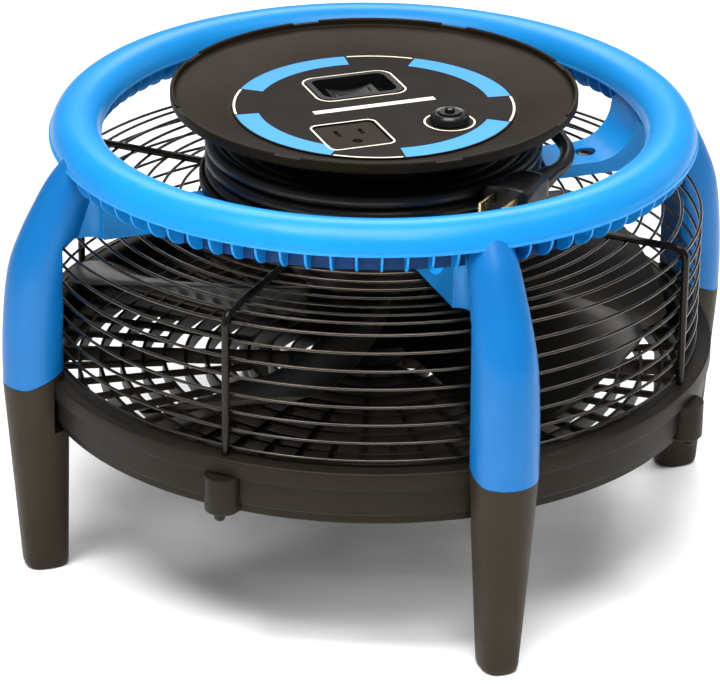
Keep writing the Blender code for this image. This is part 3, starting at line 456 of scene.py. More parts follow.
def panel_label():
    """The printed film: plain blue arcs, thin cream arcs between them, and cream outlines."""
    shader = Shader("label_film", 0.46, specular=0.05)
    maths = shader.math
    x, y = shader.axes()
    radius = shader.hypot(x, y)
    angle = maths("ARCTAN2", y, x)

    def band(value, centre, half, soft=0.00018):
        """1 within half of centre, with a narrow soft edge."""
        away = maths("ABSOLUTE", maths("SUBTRACT", value, centre))
        edge = maths("DIVIDE", maths("SUBTRACT", half, away), soft)
        return maths("ADD", edge, 0.5, clamp=True)

    def outline(centre, size, corner):
        """The line round a rounded rectangle, from its signed distance."""
        parts = []
        for value, middle, length in ((x, centre[0], size[0]), (y, centre[1], size[1])):
            away = maths("ABSOLUTE", maths("SUBTRACT", value, middle))
            parts.append(maths("SUBTRACT", away, length / 2 - corner))
        outer = [maths("MAXIMUM", part, 0.0) for part in parts]
        far = shader.hypot(*outer)
        near = maths("MINIMUM", maths("MAXIMUM", parts[0], parts[1]), 0.0)
        return band(maths("ADD", far, near), corner, LABEL_LINE)

    def sector(middle, half_width):
        """1 inside a sector of the circle, in degrees."""
        off = maths("SUBTRACT", angle, math.radians(middle))
        around = maths("ABSOLUTE", maths("WRAP", off, math.pi))
        node = around.node.inputs[0].links[0].from_node
        node.inputs[2].default_value = -math.pi
        return band(around, 0.0, math.radians(half_width), 0.006)

    def any_of(masks):
        """1 where any of the masks is 1."""
        total = masks[0]
        for mask in masks[1:]:
            total = maths("MAXIMUM", total, mask)
        return total

    arc_half, arc_span = 0.0060, 30.0     # half width, and half angle in degrees
    gap_half, gap_span = 0.0006, 14.0
    gap_radius = LABEL_ARC + 0.0056
    blues, creams = [], []
    for middle in (22.0, 112.0, 202.0, 292.0):
        blues.append(maths("MULTIPLY", band(radius, LABEL_ARC, arc_half),
                           sector(middle, arc_span)))
        creams.append(maths("MULTIPLY", band(radius, gap_radius, gap_half),
                            sector(middle + 45.0, gap_span)))
    creams.append(outline(SWITCH_CENTRE, (0.0485, 0.0345), 0.0075))
    creams.append(outline(OUTLET_CENTRE, (0.0345, 0.0345), 0.0042))
    reach = shader.hypot(maths("SUBTRACT", x, BREAKER_CENTRE[0]),
                         maths("SUBTRACT", y, BREAKER_CENTRE[1]))
    creams.append(band(reach, 0.0127, LABEL_LINE))
    creams.append(maths("MULTIPLY", band(x, 0.0, 0.0330), band(y, -0.0005, 0.0022)))
    ground = shader.ramp(shader.noise(60.0, 3.0), (0.0080, 0.0055, 0.0035, 1),
                         (0.0120, 0.0085, 0.0056, 1))
    ground = shader.mix(any_of(blues), ground, (0.070, 0.290, 0.660, 1))
    shader.colour(shader.mix(any_of(creams), ground, (0.83, 0.74, 0.62, 1)))
    shader.bump(shader.noise(2600.0, 2.0), 0.08, 0.00008)
    return shader.material


# This tint is painted reflection colour: it turns the dark plastics' reflections beige, standing in
# for warm lamplight.
WARM_LAMPLIGHT_TINT = (1.0, 0.85, 0.68, 1.0)
BLUE = moulded("blue_moulding", (0.0050, 0.225, 0.600, 1), (0.0070, 0.255, 0.650, 1),
               (0.30, 0.38), 0.16, 0.0, 0.22)
# The legs' blue is painted shade: a darker copy of the ring's blue plastic for the shade on their
# upright sides.
LEG_SHADED_BLUE = moulded("blue_leg_painted_shade", (0.0024, 0.122, 0.370, 1), (0.0034, 0.140, 0.410, 1),
                   (0.32, 0.40), 0.16, 0.0, 0.20)
# The underside blue is painted shade: a dark navy copy of the ring's blue plastic for the shadowed
# hollow under the handle.
PAINTED_SHADE_BLUE = moulded("blue_inside_painted_shade", (0.0010, 0.030, 0.110, 1), (0.0016, 0.040, 0.140, 1),
               (0.40, 0.50), 0.16, 0.0, 0.10)
BLACK = moulded("black_moulding", (0.0070, 0.0055, 0.0040, 1), (0.0105, 0.0083, 0.0060, 1),
                (0.42, 0.56), 0.25, 0.0, 0.14, WARM_LAMPLIGHT_TINT)
FOOT = moulded("foot_moulding", (0.0210, 0.0162, 0.0108, 1), (0.0270, 0.0208, 0.0142, 1),
               (0.42, 0.56), 0.25, 0.0, 0.14, WARM_LAMPLIGHT_TINT)
PANEL = moulded("panel_moulding", (0.0115, 0.0080, 0.0048, 1), (0.0160, 0.0113, 0.0070, 1),
                (0.44, 0.54), 0.25, 0.0, 0.07, WARM_LAMPLIGHT_TINT)
FAN = moulded("fan_moulding", (0.0030, 0.0025, 0.0019, 1), (0.0050, 0.0042, 0.0032, 1),
              (0.28, 0.42), 0.15, 0.03, 0.16, WARM_LAMPLIGHT_TINT)
WIRE = moulded("coated_wire", (0.0035, 0.0030, 0.0025, 1), (0.0060, 0.0052, 0.0044, 1),
               (0.18, 0.26), 0.08, 0.18, 0.45, WARM_LAMPLIGHT_TINT)
SPOKE = moulded("coated_spoke", (0.0035, 0.0030, 0.0025, 1), (0.0060, 0.0052, 0.0044, 1),
                (0.22, 0.30), 0.08, 0.04, 0.14, WARM_LAMPLIGHT_TINT)
GLOSS = moulded("gloss_black", (0.0060, 0.0055, 0.0050, 1), (0.0090, 0.0080, 0.0072, 1),
                (0.24, 0.36), 0.06, 0.10, 0.35)
VINYL = moulded("cord_vinyl", (0.0045, 0.0042, 0.0040, 1), (0.0075, 0.0070, 0.0064, 1),
                (0.30, 0.42), 0.10, 0.06, 0.25)
PAINT = moulded("motor_paint", (0.0100, 0.0092, 0.0084, 1), (0.0160, 0.0148, 0.0134, 1),
                (0.32, 0.44), 0.15, 0.10, 0.30)
STEEL = metal("zinc_steel", (0.46, 0.45, 0.43, 1), (0.60, 0.59, 0.57, 1), (0.24, 0.40))
BRASS = metal("plain_brass", (0.52, 0.40, 0.19, 1), (0.66, 0.53, 0.28, 1), (0.20, 0.36))
COPPER = metal("winding_copper", (0.42, 0.19, 0.09, 1), (0.60, 0.30, 0.15, 1), (0.28, 0.44),
               (1.0, 1.0, 8.0), 300.0)
LABEL = panel_label()


# ---- camera
def make_camera():
    """The camera at the photograph's viewing angle."""
    azimuth = math.radians(-20.97)
    elevation = math.radians(24.26)
    distance = 2.0049
    aim = Vector((0.0, 0.0, 0.11535))
    away = Vector((math.sin(azimuth) * math.cos(elevation),
                   -math.cos(azimuth) * math.cos(elevation), math.sin(elevation)))
    data = bpy.data.cameras.new("photo_camera")
    data.sensor_width = 36.0
    data.lens = 191.5
    data.shift_x = -0.0158
    data.shift_y = -0.0403
    data.clip_start = 0.05
    data.clip_end = 30.0
    camera = add_object("photo_camera", data)
    camera.rotation_mode = "QUATERNION"
    camera.location = aim + away * distance
    roll = Matrix.Rotation(math.radians(0.735), 4, "Z")
    facing = (-away).to_track_quat("-Z", "Y").to_matrix().to_4x4() @ roll
    camera.rotation_quaternion = facing.to_quaternion()
    bpy.context.scene.camera = camera


# ---- power cord
def plug_matrix():
    """Where the plug lies: its X axis points along its blades."""
    return Matrix.Translation(polar(*PLUG_PLACE)) @ turn(PLUG_TURN)


def gland_matrix():
    """Where the cord passes through the drum's wall, X lying along the cord."""
    place = polar(DRUM_HIGH.x - 0.0030, CORD_START, FIRST_ROW)
    return Matrix.Translation(place) @ turn(CORD_START - 90.0 + GLAND_SLANT)


def coil_points(start_angle):
    """Nine turns in three layers of three, climbing on themselves at the end of each turn."""
    rows = (0, 1, 2, 2, 1, 0, 0, 1, 2, 2)
    layers = (0, 0, 0, 1, 1, 1, 2, 2, 2, 3)
    places = [(FIRST_LAYER + CORD_PITCH * layer, FIRST_ROW + CORD_PITCH * row)
              for layer, row in zip(layers, rows)]
    steps = 60                            # points in a turn
    climb = 0.13                          # share of a turn in which the cord changes place
    made = []
    for k in range(len(places) - 1):
        here, there = places[k], places[k + 1]
        climbs = here[0] != there[0] and rows[k] == 2
        for i in range(steps):
            share = smooth_step((i / steps - (1.0 - climb)) / climb)
            lift = 0.37 * CORD_PITCH * math.sin(math.pi * share) if climbs else 0.0
            radius = here[0] + (there[0] - here[0]) * share
            height = here[1] + (there[1] - here[1]) * share + lift
            made.append(polar(radius, start_angle - 360.0 * i / steps, height))
    return made


def make_cord():
    """One open run of cord: out of the drum, nine turns, then the lead to the plug."""
    gland = gland_matrix()
    frame_of_plug = plug_matrix()
    exit_point = gland @ Vector((-0.0020, 0, 0))
    way_in = [exit_point, gland @ Vector((0.0040, 0, 0)), polar(0.0665, 54.0, FIRST_ROW)]
    back = -PLUG_SIZE[0] / 2 - SLEEVE_LENGTH
    start = FIRST_LAYER + 3 * CORD_PITCH
    lead = [polar(start + out, degrees, height) for out, degrees, height in LEAD_ROUTE]
    lead += [frame_of_plug @ Vector((back - 0.0150, 0, 0)),
             frame_of_plug @ Vector((back + 0.0006, 0, 0))]
    points = smooth_route(way_in, 7)[:-1] + coil_points(48.0) + smooth_route(lead, 50)
    cord = wire_curve("power_cord", [(points, False)], CORD_RADIUS, 5)
    finish_piece(cord, VINYL, stands_for=("power_cord_coil", "power_cord_lead"))
    return cord, exit_point


def make_plug():
    """The moulded plug: waisted body, grip ribs, a segmented sleeve, and brass blades."""
    place = plug_matrix()
    length, width, depth = PLUG_SIZE
    bm = bmesh.new()
    sections = []
    square = 0.45                         # 1 is round, 0 is a rectangle
    for t, wide, deep in ((0.0, 0.40, 0.48), (0.05, 0.55, 0.62), (0.20, 0.64, 0.72),
                          (0.42, 0.76, 0.82), (0.62, 0.88, 0.90), (0.80, 0.97, 0.97),
                          (0.94, 1.0, 1.0), (0.985, 0.98, 0.98), (1.0, 0.93, 0.93)):
        loop = []
        for c, s in circle(32):
            y = squared(c, square) * width / 2 * wide
            z = squared(s, square) * depth / 2 * deep
            loop.append(place @ Vector((-length / 2 + length * t, y, z)))
        sections.append(loop)
    loft(sections, bm)
    for i in range(6):
        spot = place @ shift(-0.0088 + 0.0026 * i)
        wide = width * (0.72 + 0.045 * i)
        deep = depth * (0.80 + 0.035 * i)
        rounded_box(bm, (0.0010, wide * 0.62, deep + 0.0012), spot, 0.0004, 2)
    lay = place @ shift(-length / 2 + 0.001) @ Matrix.Rotation(math.radians(-90), 4, "Y")
    profile = [(0.0, -0.002)]
    segments = 6
    groove = 0.0009                       # depth of the grooves between the sleeve's segments
    for i in range(segments):
        low = SLEEVE_LENGTH * i / segments
        wide = 0.0062 - 0.0014 * i / segments
        profile += [(wide, low), (wide, low + 0.0019), (wide - groove, low + 0.0020),
                    (wide - groove, low + 0.0029)]
    profile += [(0.0044, SLEEVE_LENGTH), (0.0, SLEEVE_LENGTH)]
    lathe(profile, 28, closed=False, bm=bm, matrix=lay)
    body = mesh_from(bm, "plug_moulding", 40)
    finish_piece(body, VINYL, stands_for=("plug_body",))
    made = [body]
    for name in ("plug_blade_1", "plug_blade_2", "plug_ground_pin"):
        dress(name, BRASS, 0.0003)
        made.append(NODES[name])
    return made


# ---- blue moulding
def make_handle():
    """The ring: a smooth half-round shell with a thin lip, hollow below."""
    centre = (RING_RADIUS, RING_HEIGHT)
    outer_down = arc(centre, RING_TUBE, 90, 4, 20)
    outer = RING_HIGH.x
    lip = [(outer + 0.0007, RING_HEIGHT + 0.0006), (outer + 0.0007, RING_HEIGHT - 0.0005),
           (outer - 0.0006, RING_HEIGHT - 0.0008)]
    inside = arc(centre, RING_TUBE - RING_WALL, 0, 180, 16)
    inner = RING_RADIUS - RING_TUBE
    lip_back = [(inner + 0.0006, RING_HEIGHT - 0.0008), (inner - 0.0002, RING_HEIGHT - 0.0004),
                (inner - 0.0002, RING_HEIGHT + 0.0008)]
    outer_up = arc(centre, RING_TUBE, 176, 90, 20)[:-1]
    profile = outer_down + lip + inside + lip_back + outer_up
    ring = mesh_from(lathe(profile, ROUND), "handle_shell", 40)
    finish_piece(ring, BLUE, stands_for=RING_NODES)


def make_ribs():
    """Thin radial ribs that round off the underside of the handle, none beside a leg."""
    depth = RING_TUBE - 0.0004
    outline = [(-depth + 0.0006, 0.0030)] + arc((0, 0), depth, 182, 358, 22)
    outline.append((depth - 0.0006, 0.0030))
    bm = bmesh.new()
    for i in range(RIB_COUNT):
        degrees = 360.0 / RIB_COUNT * (i + 0.5)
        off = abs((degrees + 45.0) % 90.0 - 45.0)
        if off < RIB_FREE_ANGLE:
            continue
        spot = turn(degrees) @ shift(RING_RADIUS, 0, RING_HEIGHT) @ UPRIGHT
        prism(outline, RIB_THICKNESS, spot, bm)
    ribs = bevel(mesh_from(bm, "handle_ribs"), 0.0003, 2)
    finish_piece(ribs, BLUE)
    outside = RING_RADIUS + RIB_THICKNESS / 2
    inside = RING_RADIUS - RIB_THICKNESS / 2
    top = RING_HEIGHT + 0.0060
    bottom = RING_HEIGHT - depth + 0.0002
    wall = [(outside, top), (outside, bottom + 0.0003), (outside - 0.0003, bottom),
            (inside + 0.0003, bottom), (inside, bottom + 0.0003), (inside, top)]
    # The core wall between the ribs is a dark sheet coloured with the painted shade blue, where
    # under the handle there is only shade.
    core = mesh_from(lathe(wall, ROUND), "handle_core")
    finish_piece(core, PAINTED_SHADE_BLUE)


def leg_station(t):
    """Radius from the axis, height and tube radius of a leg, t from its bottom to the ring."""
    stations = [(LEG_CENTRE, LEG_BOTTOM, LEG_RADIUS), (LEG_CENTRE - 0.0003, 0.1285, LEG_RADIUS),
                (LEG_CENTRE - 0.0015, 0.1500, 0.0166), (0.1788, 0.1665, 0.0160),
                (0.1745, 0.1805, 0.0149), (0.1690, 0.1935, 0.0138), (0.1626, 0.2064, 0.0127),
                (0.1536, 0.2196, 0.0108)]
    return spline_at([Vector(s) for s in stations], t * (len(stations) - 1))


def joint_rise(out):
    """How much higher the joint of leg and foot is, out being the distance outside its centre."""
    return JOINT_SLOPE * max(0.0, JOINT_START - out)


def make_legs():
    """Smooth tapering legs, flattened behind where they pass the guard and the base ring."""
    steps = 40
    for side, degrees in SIDES.items():
        sections = []
        for i in range(steps):
            t = i / (steps - 1)
            here = leg_station(t)
            ahead = leg_station(min(1.0, t + 0.01)) - leg_station(max(0.0, t - 0.01))
            tilt = math.atan2(-ahead.x, ahead.y) if i else 0.0
            loop = []
            for c, s in circle(48):
                out = here.z * c
                wide = here.z * s
                radius = here.x + out * math.cos(tilt)
                height = here.y + out * math.sin(tilt)
                height += joint_rise(out) * max(0.0, 1.0 - (here.y - LEG_BOTTOM) / JOINT_FADE)
                limit = BASE_RIM_RADIUS + GAP if height < BASE_HIGH.z + GAP else GUARD_CLEARANCE
                if height < ARM_BOTTOM and math.hypot(radius, wide) < limit:
                    radius = math.sqrt(limit * limit - wide * wide)
                loop.append(turn(degrees) @ Vector((radius, wide, height)))
            sections.append(loop)
        leg = mesh_from(loft(sections), "leg_moulding_" + side, 40)
        # Painted shade: the legs take a darker copy of the ring's blue plastic.
        finish_piece(leg, LEG_SHADED_BLUE, stands_for=("leg_" + side,))


def make_arms():
    """The cross: a hub plate, and four flat arms that sweep up into the ring."""
    groove_centre, groove_out, groove_in, groove_depth = 0.1580, 0.0200, 0.0085, 0.0065
    bore = 0.0082
    for side, degrees in SIDES.items():
        fillet = arc((0.1190, 0.2118), 0.0210, 270, 356, 18)
        outline = [(0.0440, ARM_BOTTOM), (0.1600, ARM_BOTTOM), (0.1660, 0.1837), (0.1692, 0.1829),
                   (0.1708, 0.1812), (0.1708, 0.1950), (0.1640, 0.2060), (0.1600, 0.2190)]
        outline += [(0.1420, 0.2190)] + list(reversed(fillet)) + [(0.0440, ARM_TOP)]
        arm = mesh_from(prism(outline, 2 * ARM_HALF_WIDTH, turn(degrees) @ UPRIGHT),
                        "arm_moulding_" + side)
        for hand in (-1, 1):
            rows = []
            for height in (0.1600, 0.2180):
                row = []
                for along, across in circle(28):
                    reach = groove_centre + along * (groove_out if along > 0 else groove_in)
                    width = hand * ARM_HALF_WIDTH + groove_depth * across
                    row.append(turn(degrees) @ Vector((reach, width, height)))
                rows.append(row)
            cut(arm, mesh_from(loft(rows), "groove"))
        well = lathe([(0.0, 0.01), (0.0054, 0.01), (0.0054, -0.0026), (0.0, -0.0026)], 32, False,
                     matrix=Matrix.Translation(polar(ARM_SCREW_REACH, degrees, ARM_TOP)))
        cut(arm, mesh_from(well, "screw_well"))
        bevel(arm, 0.0026, 4, 40)
        finish_piece(arm, BLUE)
    plate = lathe([(bore, ARM_TOP), (HUB_PLATE_RADIUS, ARM_TOP), (HUB_PLATE_RADIUS, ARM_BOTTOM),
                   (bore, ARM_BOTTOM)], 96)
    hub = bevel(mesh_from(plate, "hub_plate"), 0.0012)
    finish_piece(hub, BLUE, stands_for=("arm_spider",))


def make_screw_heads():
    """Pan-head screws with a cross recess, in the wells of the arms."""
    profile = [(0.0, 0.0)] + arc((0.0030, -0.0018), 0.0018, 90, 0, 6)
    profile += [(0.0048, -0.0023), (0.0, -0.0023)]
    for side, degrees in SIDES.items():
        spot = Matrix.Translation(polar(ARM_SCREW_REACH, degrees, ARM_TOP - 0.0002))
        screw = mesh_from(lathe(profile, 32, False, matrix=spot), "screw_head_" + side)
        for quarter in (20.0, 110.0):
            bm = bmesh.new()
            rounded_box(bm, (0.0050, 0.0010, 0.0022), spot @ turn(quarter), 0.0001, 1)
            cut(screw, mesh_from(bm, "cross_recess"))
        finish_piece(screw, WIRE, stands_for=("arm_screw_" + side,))


# ---- feet, base ring and grille
def make_feet():
    """Tapering feet, squarer at the floor, notched round the base ring."""
    rim, under = BASE_HIGH.z + GAP, BASE_LOW.z - 0.0006
    for side, degrees in SIDES.items():
        sections = []
        levels = [(0.0, 0.82), (0.0006, 0.91), (0.0016, 0.97), (0.0032, 1.0)]
        levels += [(FOOT_TOP * i / 16, 1.0) for i in range(1, 17)]
        for height, shrink in levels:
            t = height / FOOT_TOP
            centre = FOOT_CENTRE + (LEG_CENTRE - FOOT_CENTRE) * t
            half_length = (FOOT_HALF_LENGTH + (LEG_RADIUS - FOOT_HALF_LENGTH) * t) * shrink
            half_width = (FOOT_HALF_WIDTH + (LEG_RADIUS - FOOT_HALF_WIDTH) * t) * shrink
            square = 0.72 + 0.28 * t
            loop = []
            for c, s in circle(48):
                out = squared(c, square) * half_length
                near_top = max(0.0, (height - FOOT_TOP) / JOINT_FADE + 1.0)
                loop.append(turn(degrees) @ Vector((
                    centre + out, squared(s, square) * half_width,
                    height + joint_rise(out) * near_top)))
            sections.append(loop)
        foot = mesh_from(loft(sections), "foot_moulding_" + side, 50)
        notch = lathe([(0.0, 0.1300), (GUARD_CLEARANCE, 0.1300), (GUARD_CLEARANCE, rim),
                       (BASE_RIM_RADIUS + GAP, rim), (BASE_RIM_RADIUS + GAP, under),
                       (0.0, under)], ROUND, False)
        cut(foot, mesh_from(notch, "base_notch"))
        finish_piece(foot, FOOT, stands_for=("foot_" + side,))


def make_base():
    """The base ring: rim, stepped band and lip, with a half-round lug under each spoke."""
    profile = [(0.1769, BASE_HIGH.z), (0.1775, 0.1093), (BASE_RIM_RADIUS, 0.1086),
               (BASE_RIM_RADIUS, 0.1012), (0.1772, BASE_RIM_BOTTOM), (0.1758, 0.1003),
               (0.1754, 0.0998), (0.1754, 0.0868), (0.1748, 0.0861), (0.1736, 0.0858),
               (0.1731, 0.0853), (0.1731, 0.0814), (0.1725, BASE_LOW.z), (0.1600, BASE_LOW.z),
               (0.1600, 0.0834), (0.1703, 0.0834), (0.1703, 0.1075), (0.1660, 0.1075),
               (0.1660, BASE_HIGH.z - 0.0006), (0.1666, BASE_HIGH.z)]
    ring = mesh_from(lathe(profile, ROUND), "base_moulding", 28)
    finish_piece(ring, BLACK, stands_for=("base_ring",))
    bm = bmesh.new()
    corner = 0.0016
    for degrees in CORNERS.values():
        lug = [(0.0, BASE_RIM_BOTTOM + 0.0004), (LUG_RADIUS, BASE_RIM_BOTTOM + 0.0004)]
        lug += arc((LUG_RADIUS - corner, LUG_BOTTOM + corner), corner, 0, -90, 6)
        lug += [(0.0, LUG_BOTTOM)]
        lathe(lug, 40, False, bm, Matrix.Translation(polar(LUG_REACH, degrees)))
        seam = turn(degrees + 22.0) @ shift(BASE_RIM_RADIUS, 0, 0.1050)
        rounded_box(bm, (0.0005, 0.0008, 0.0084), seam, 0.00015, 2)
    lugs = mesh_from(bm, "base_lugs")
    finish_piece(lugs, BLACK)
    for name in CORNERS:
        dress("guard_screw_" + name, BLACK, 0.0004)


def make_grille():
    """Concentric rings on a hub: 8 bars reach it, and more start further out."""
    low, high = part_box("outlet_grille")
    ring_count, first_ring, ring_pitch, wall, chamfer = 13, 0.0300, 0.0111, 0.0018, 0.0004
    bar_count, bar_width, bar_depth, bar_end = 48, 0.0028, 0.0034, 0.1690
    hub = 0.0180
    bm = bmesh.new()
    for i in range(ring_count):
        inside = first_ring + ring_pitch * i
        outside = inside + wall
        lathe([(inside + chamfer, high.z), (outside - chamfer, high.z), (outside, high.z - chamfer),
               (outside, low.z + chamfer), (outside - chamfer, low.z), (inside + chamfer, low.z),
               (inside, low.z + chamfer), (inside, high.z - chamfer)], 144, True, bm)
    lathe([(0.0, high.z), (hub - 0.0010, high.z), (hub, high.z - 0.0010), (hub, low.z + 0.0010),
           (hub - 0.0010, low.z), (0.0, low.z)], 64, False, bm)
    for i in range(bar_count):
        long = i % 6 == 3
        start = 0.0165 if long else 0.0640 if i % 2 else 0.1080
        deep = high.z - low.z - 0.0010 if long else bar_depth
        spot = turn(360.0 / bar_count * i) @ shift((start + bar_end) / 2, 0,
                                                   high.z - 0.0005 - deep / 2)
        rounded_box(bm, (bar_end - start, bar_width, deep), spot, 0.0005, 2)
    grille = mesh_from(bm, "grille_moulding")
    finish_piece(grille, BLACK, stands_for=("outlet_grille",))


# ---- wire guard
def make_guard():
    """Ring wires inside, and four thicker spokes bent over the top corner outside them."""
    def ring(radius, height):
        steps = 160
        return ([polar(radius, 360.0 * i / steps, height) for i in range(steps)], True)

    rings = [ring(GUARD_RADIUS, GUARD_TOP - 0.0017 - GUARD_PITCH * i) for i in range(SIDE_RINGS)]
    rings += [ring(GUARD_RADIUS - TOP_PITCH * (i + 1), GUARD_TOP) for i in range(TOP_RINGS)]
    wires = wire_curve("guard_rings", rings, GUARD_WIRE, 4)
    finish_piece(wires, WIRE, stands_for=("guard_side", "guard_top"))
    spokes = []
    outside = 0.0024                      # from a ring's middle to a spoke's
    reach = GUARD_RADIUS + outside
    top = GUARD_TOP + outside
    bend = 0.0060
    for degrees in CORNERS.values():
        path = [(reach, BASE_HIGH.z - 0.0020), (reach, 0.1400), (reach, top - bend - 0.0060)]
        path += arc((reach - bend, top - bend), bend, 0, 90, 12)
        path += [(0.1300, top), (0.0900, top), (0.0500, top)]
        spokes.append(([polar(radius, degrees, height) for radius, height in path], False))
    thick = wire_curve("guard_spokes", spokes, SPOKE_WIRE, 5)
    finish_piece(thick, SPOKE)


# ---- motor and fan
def make_motor():
    """A ribbed can with a flat cap, and the parts inside it."""
    floor, wide, top = MOTOR_LOW, MOTOR_RADIUS, 0.1780
    bore, boss_wall, boss_top = 0.0099, 0.0030, floor + 0.0070
    ribs, rib_depth, wall = 7, 0.0012, 0.0022
    profile = [(bore, boss_top), (bore, floor), (wide - 0.0050, floor)]
    profile += arc((wide - 0.0040, floor + 0.0040), 0.0036, -80, 0, 8)
    step = (top - floor - 0.0070) / ribs
    for i in range(ribs):
        low = floor + 0.0060 + step * i
        profile += [(wide - rib_depth, low), (wide, low + 0.0006), (wide, low + 0.0022),
                    (wide - rib_depth, low + 0.0028)]
    profile += [(wide, top - 0.0001), (wide - wall, top), (wide - wall, floor + 0.0030),
                (bore + boss_wall, floor + 0.0030), (bore + boss_wall, boss_top)]
    can = mesh_from(lathe(profile, 96), "motor_can", 30)
    finish_piece(can, PAINT, stands_for=("motor_housing",))
    dress("motor_end_cap", PAINT, 0.0005)
    dress("motor_rotor", STEEL)
    dress("motor_stator", COPPER)
    dress("motor_shaft", STEEL, 0.0004)
    dress("motor_bearing_lower", STEEL, 0.0003)
    dress("motor_bearing_upper", STEEL, 0.0003)
    for name in CORNERS:
        dress("motor_screw_" + name, STEEL, 0.0003)


def blade_point(t, s, half):
    """A point on a blade: t from root to tip, s across the chord, half its thickness there."""
    root = HUB_HIGH.x + GAP
    radius = root + (BLADE_TIP - root) * t
    chord = 0.046 + 0.074 * t
    pitch = math.radians(40 - 22 * t)
    sweep = -16.0
    camber = 0.0045 * (1 - 4 * s * s)
    along = s * chord * math.cos(pitch) - (camber + half) * math.sin(pitch)
    rise = s * chord * math.sin(pitch) + (camber + half) * math.cos(pitch)
    angle = math.radians(sweep * t) + along / radius
    return Vector((radius * math.cos(angle), radius * math.sin(angle), FAN_MIDDLE + rise))


def make_fan():
    """Blades with a rounded leading edge and thin tips, on a ribbed hub."""
    stations, across = 26, 20
    for i in range(BLADE_COUNT):
        bm = bmesh.new()
        sections = []
        for row in range(stations):
            t = row / (stations - 1)
            round_tip = 1.0 - 0.16 * max(0.0, (t - 0.90) / 0.10) ** 2
            upper, lower = [], []
            for k in range(across):
                s = (k / (across - 1) - 0.5) * round_tip
                edge = math.sqrt(max(0.0, 1 - (2 * k / (across - 1) - 1) ** 8))
                half = 0.0011 * edge + 0.0002
                upper.append(blade_point(t, s, half))
                lower.append(blade_point(t, s, -half))
            loop = upper + list(reversed(lower))
            sections.append([turn(BLADE_START + 360.0 / BLADE_COUNT * i) @ p for p in loop])
        loft(sections, bm)
        blade = mesh_from(bm, "blade_moulding_%d" % (i + 1), 50)
        finish_piece(blade, FAN, "fan", ("fan_blade_%d" % (i + 1),))
    wide, top = HUB_HIGH.x, HUB_HIGH.z
    wall, corner = 0.0024, 0.0034
    bore, boss, boss_low, web_low = 0.0043, 0.0100, 0.1125, 0.1345
    profile = [(bore, top), (wide - 0.0040, top)]
    profile += arc((wide - corner, top - corner), corner, 90, 0, 8)
    profile += [(wide, HUB_LOW.z), (wide - wall, HUB_LOW.z), (wide - wall, web_low),
                (boss, web_low), (boss, boss_low), (bore, boss_low)]
    bm = lathe(profile, 96)
    ribs = 10
    for i in range(ribs):
        spot = turn(360.0 / ribs * i) @ shift(0.0208, 0, 0.1250)
        rounded_box(bm, (0.0220, 0.0014, 0.0190), spot, 0.0002, 2)
    hub = mesh_from(bm, "hub_moulding", 30)
    finish_piece(hub, FAN, "fan", ("fan_hub",))
    dress("fan_nut", STEEL, 0.0005)


# ---- reel, panel and controls
def make_reel():
    """The tray under the cord, and the drum that the cord is wound on."""
    top = TRAY_HIGH.z
    low = TRAY_LOW.z
    wide = TRAY_HIGH.x
    bore = 0.0150
    profile = [(wide - 0.0014, top), (wide - 0.0005, top - 0.0002), (wide, top - 0.0008),
               (wide, low + 0.0010), (wide - 0.0010, low), (bore + 0.0005, low),
               (bore, low + 0.0005), (bore, low + 0.0015), (bore + 0.0005, low + TRAY_FLOOR),
               (wide - 0.0026, low + TRAY_FLOOR),
               (wide - 0.0020, low + 0.0026), (wide - 0.0020, top - 0.0004)]
    tray = mesh_from(lathe(profile, 160), "tray_moulding", 30)
    finish_piece(tray, BLACK, stands_for=("reel_tray",))
    inner = DRUM_HIGH.x - 0.0020
    wall = lathe([(DRUM_HIGH.x, DRUM_HIGH.z), (DRUM_HIGH.x, DRUM_LOW.z), (inner, DRUM_LOW.z),
                  (inner, DRUM_HIGH.z)], 128)
    drum = mesh_from(wall, "drum_moulding", 30)
    bm = bmesh.new()
    rounded_box(bm, (0.030, 0.0110, 0.0110), gland_matrix(), 0.0010, 2)
    cut(drum, mesh_from(bm, "cord_slot"))
    finish_piece(drum, BLACK, stands_for=("reel_drum",))
    dress("cord_strain_relief", VINYL, 0.0003)
    dress("run_capacitor", BLACK, 0.0012)


def opening_cutters():
    """Solids for the openings that the dish needs round its controls."""
    bm = bmesh.new()
    deep = 0.030
    rounded_box(bm, (0.047, 0.033, deep), shift(*SWITCH_CENTRE, PANEL_TOP), 0.0065, 5)
    rounded_box(bm, (0.0325, 0.0325, deep), shift(*OUTLET_CENTRE, PANEL_TOP), 0.0028, 4)
    lathe([(0.0, deep / 2), (BREAKER_NECK, deep / 2), (BREAKER_NECK, -deep / 2), (0.0, -deep / 2)],
          40, False, bm, shift(*BREAKER_CENTRE, PANEL_TOP))
    return mesh_from(bm, "openings")


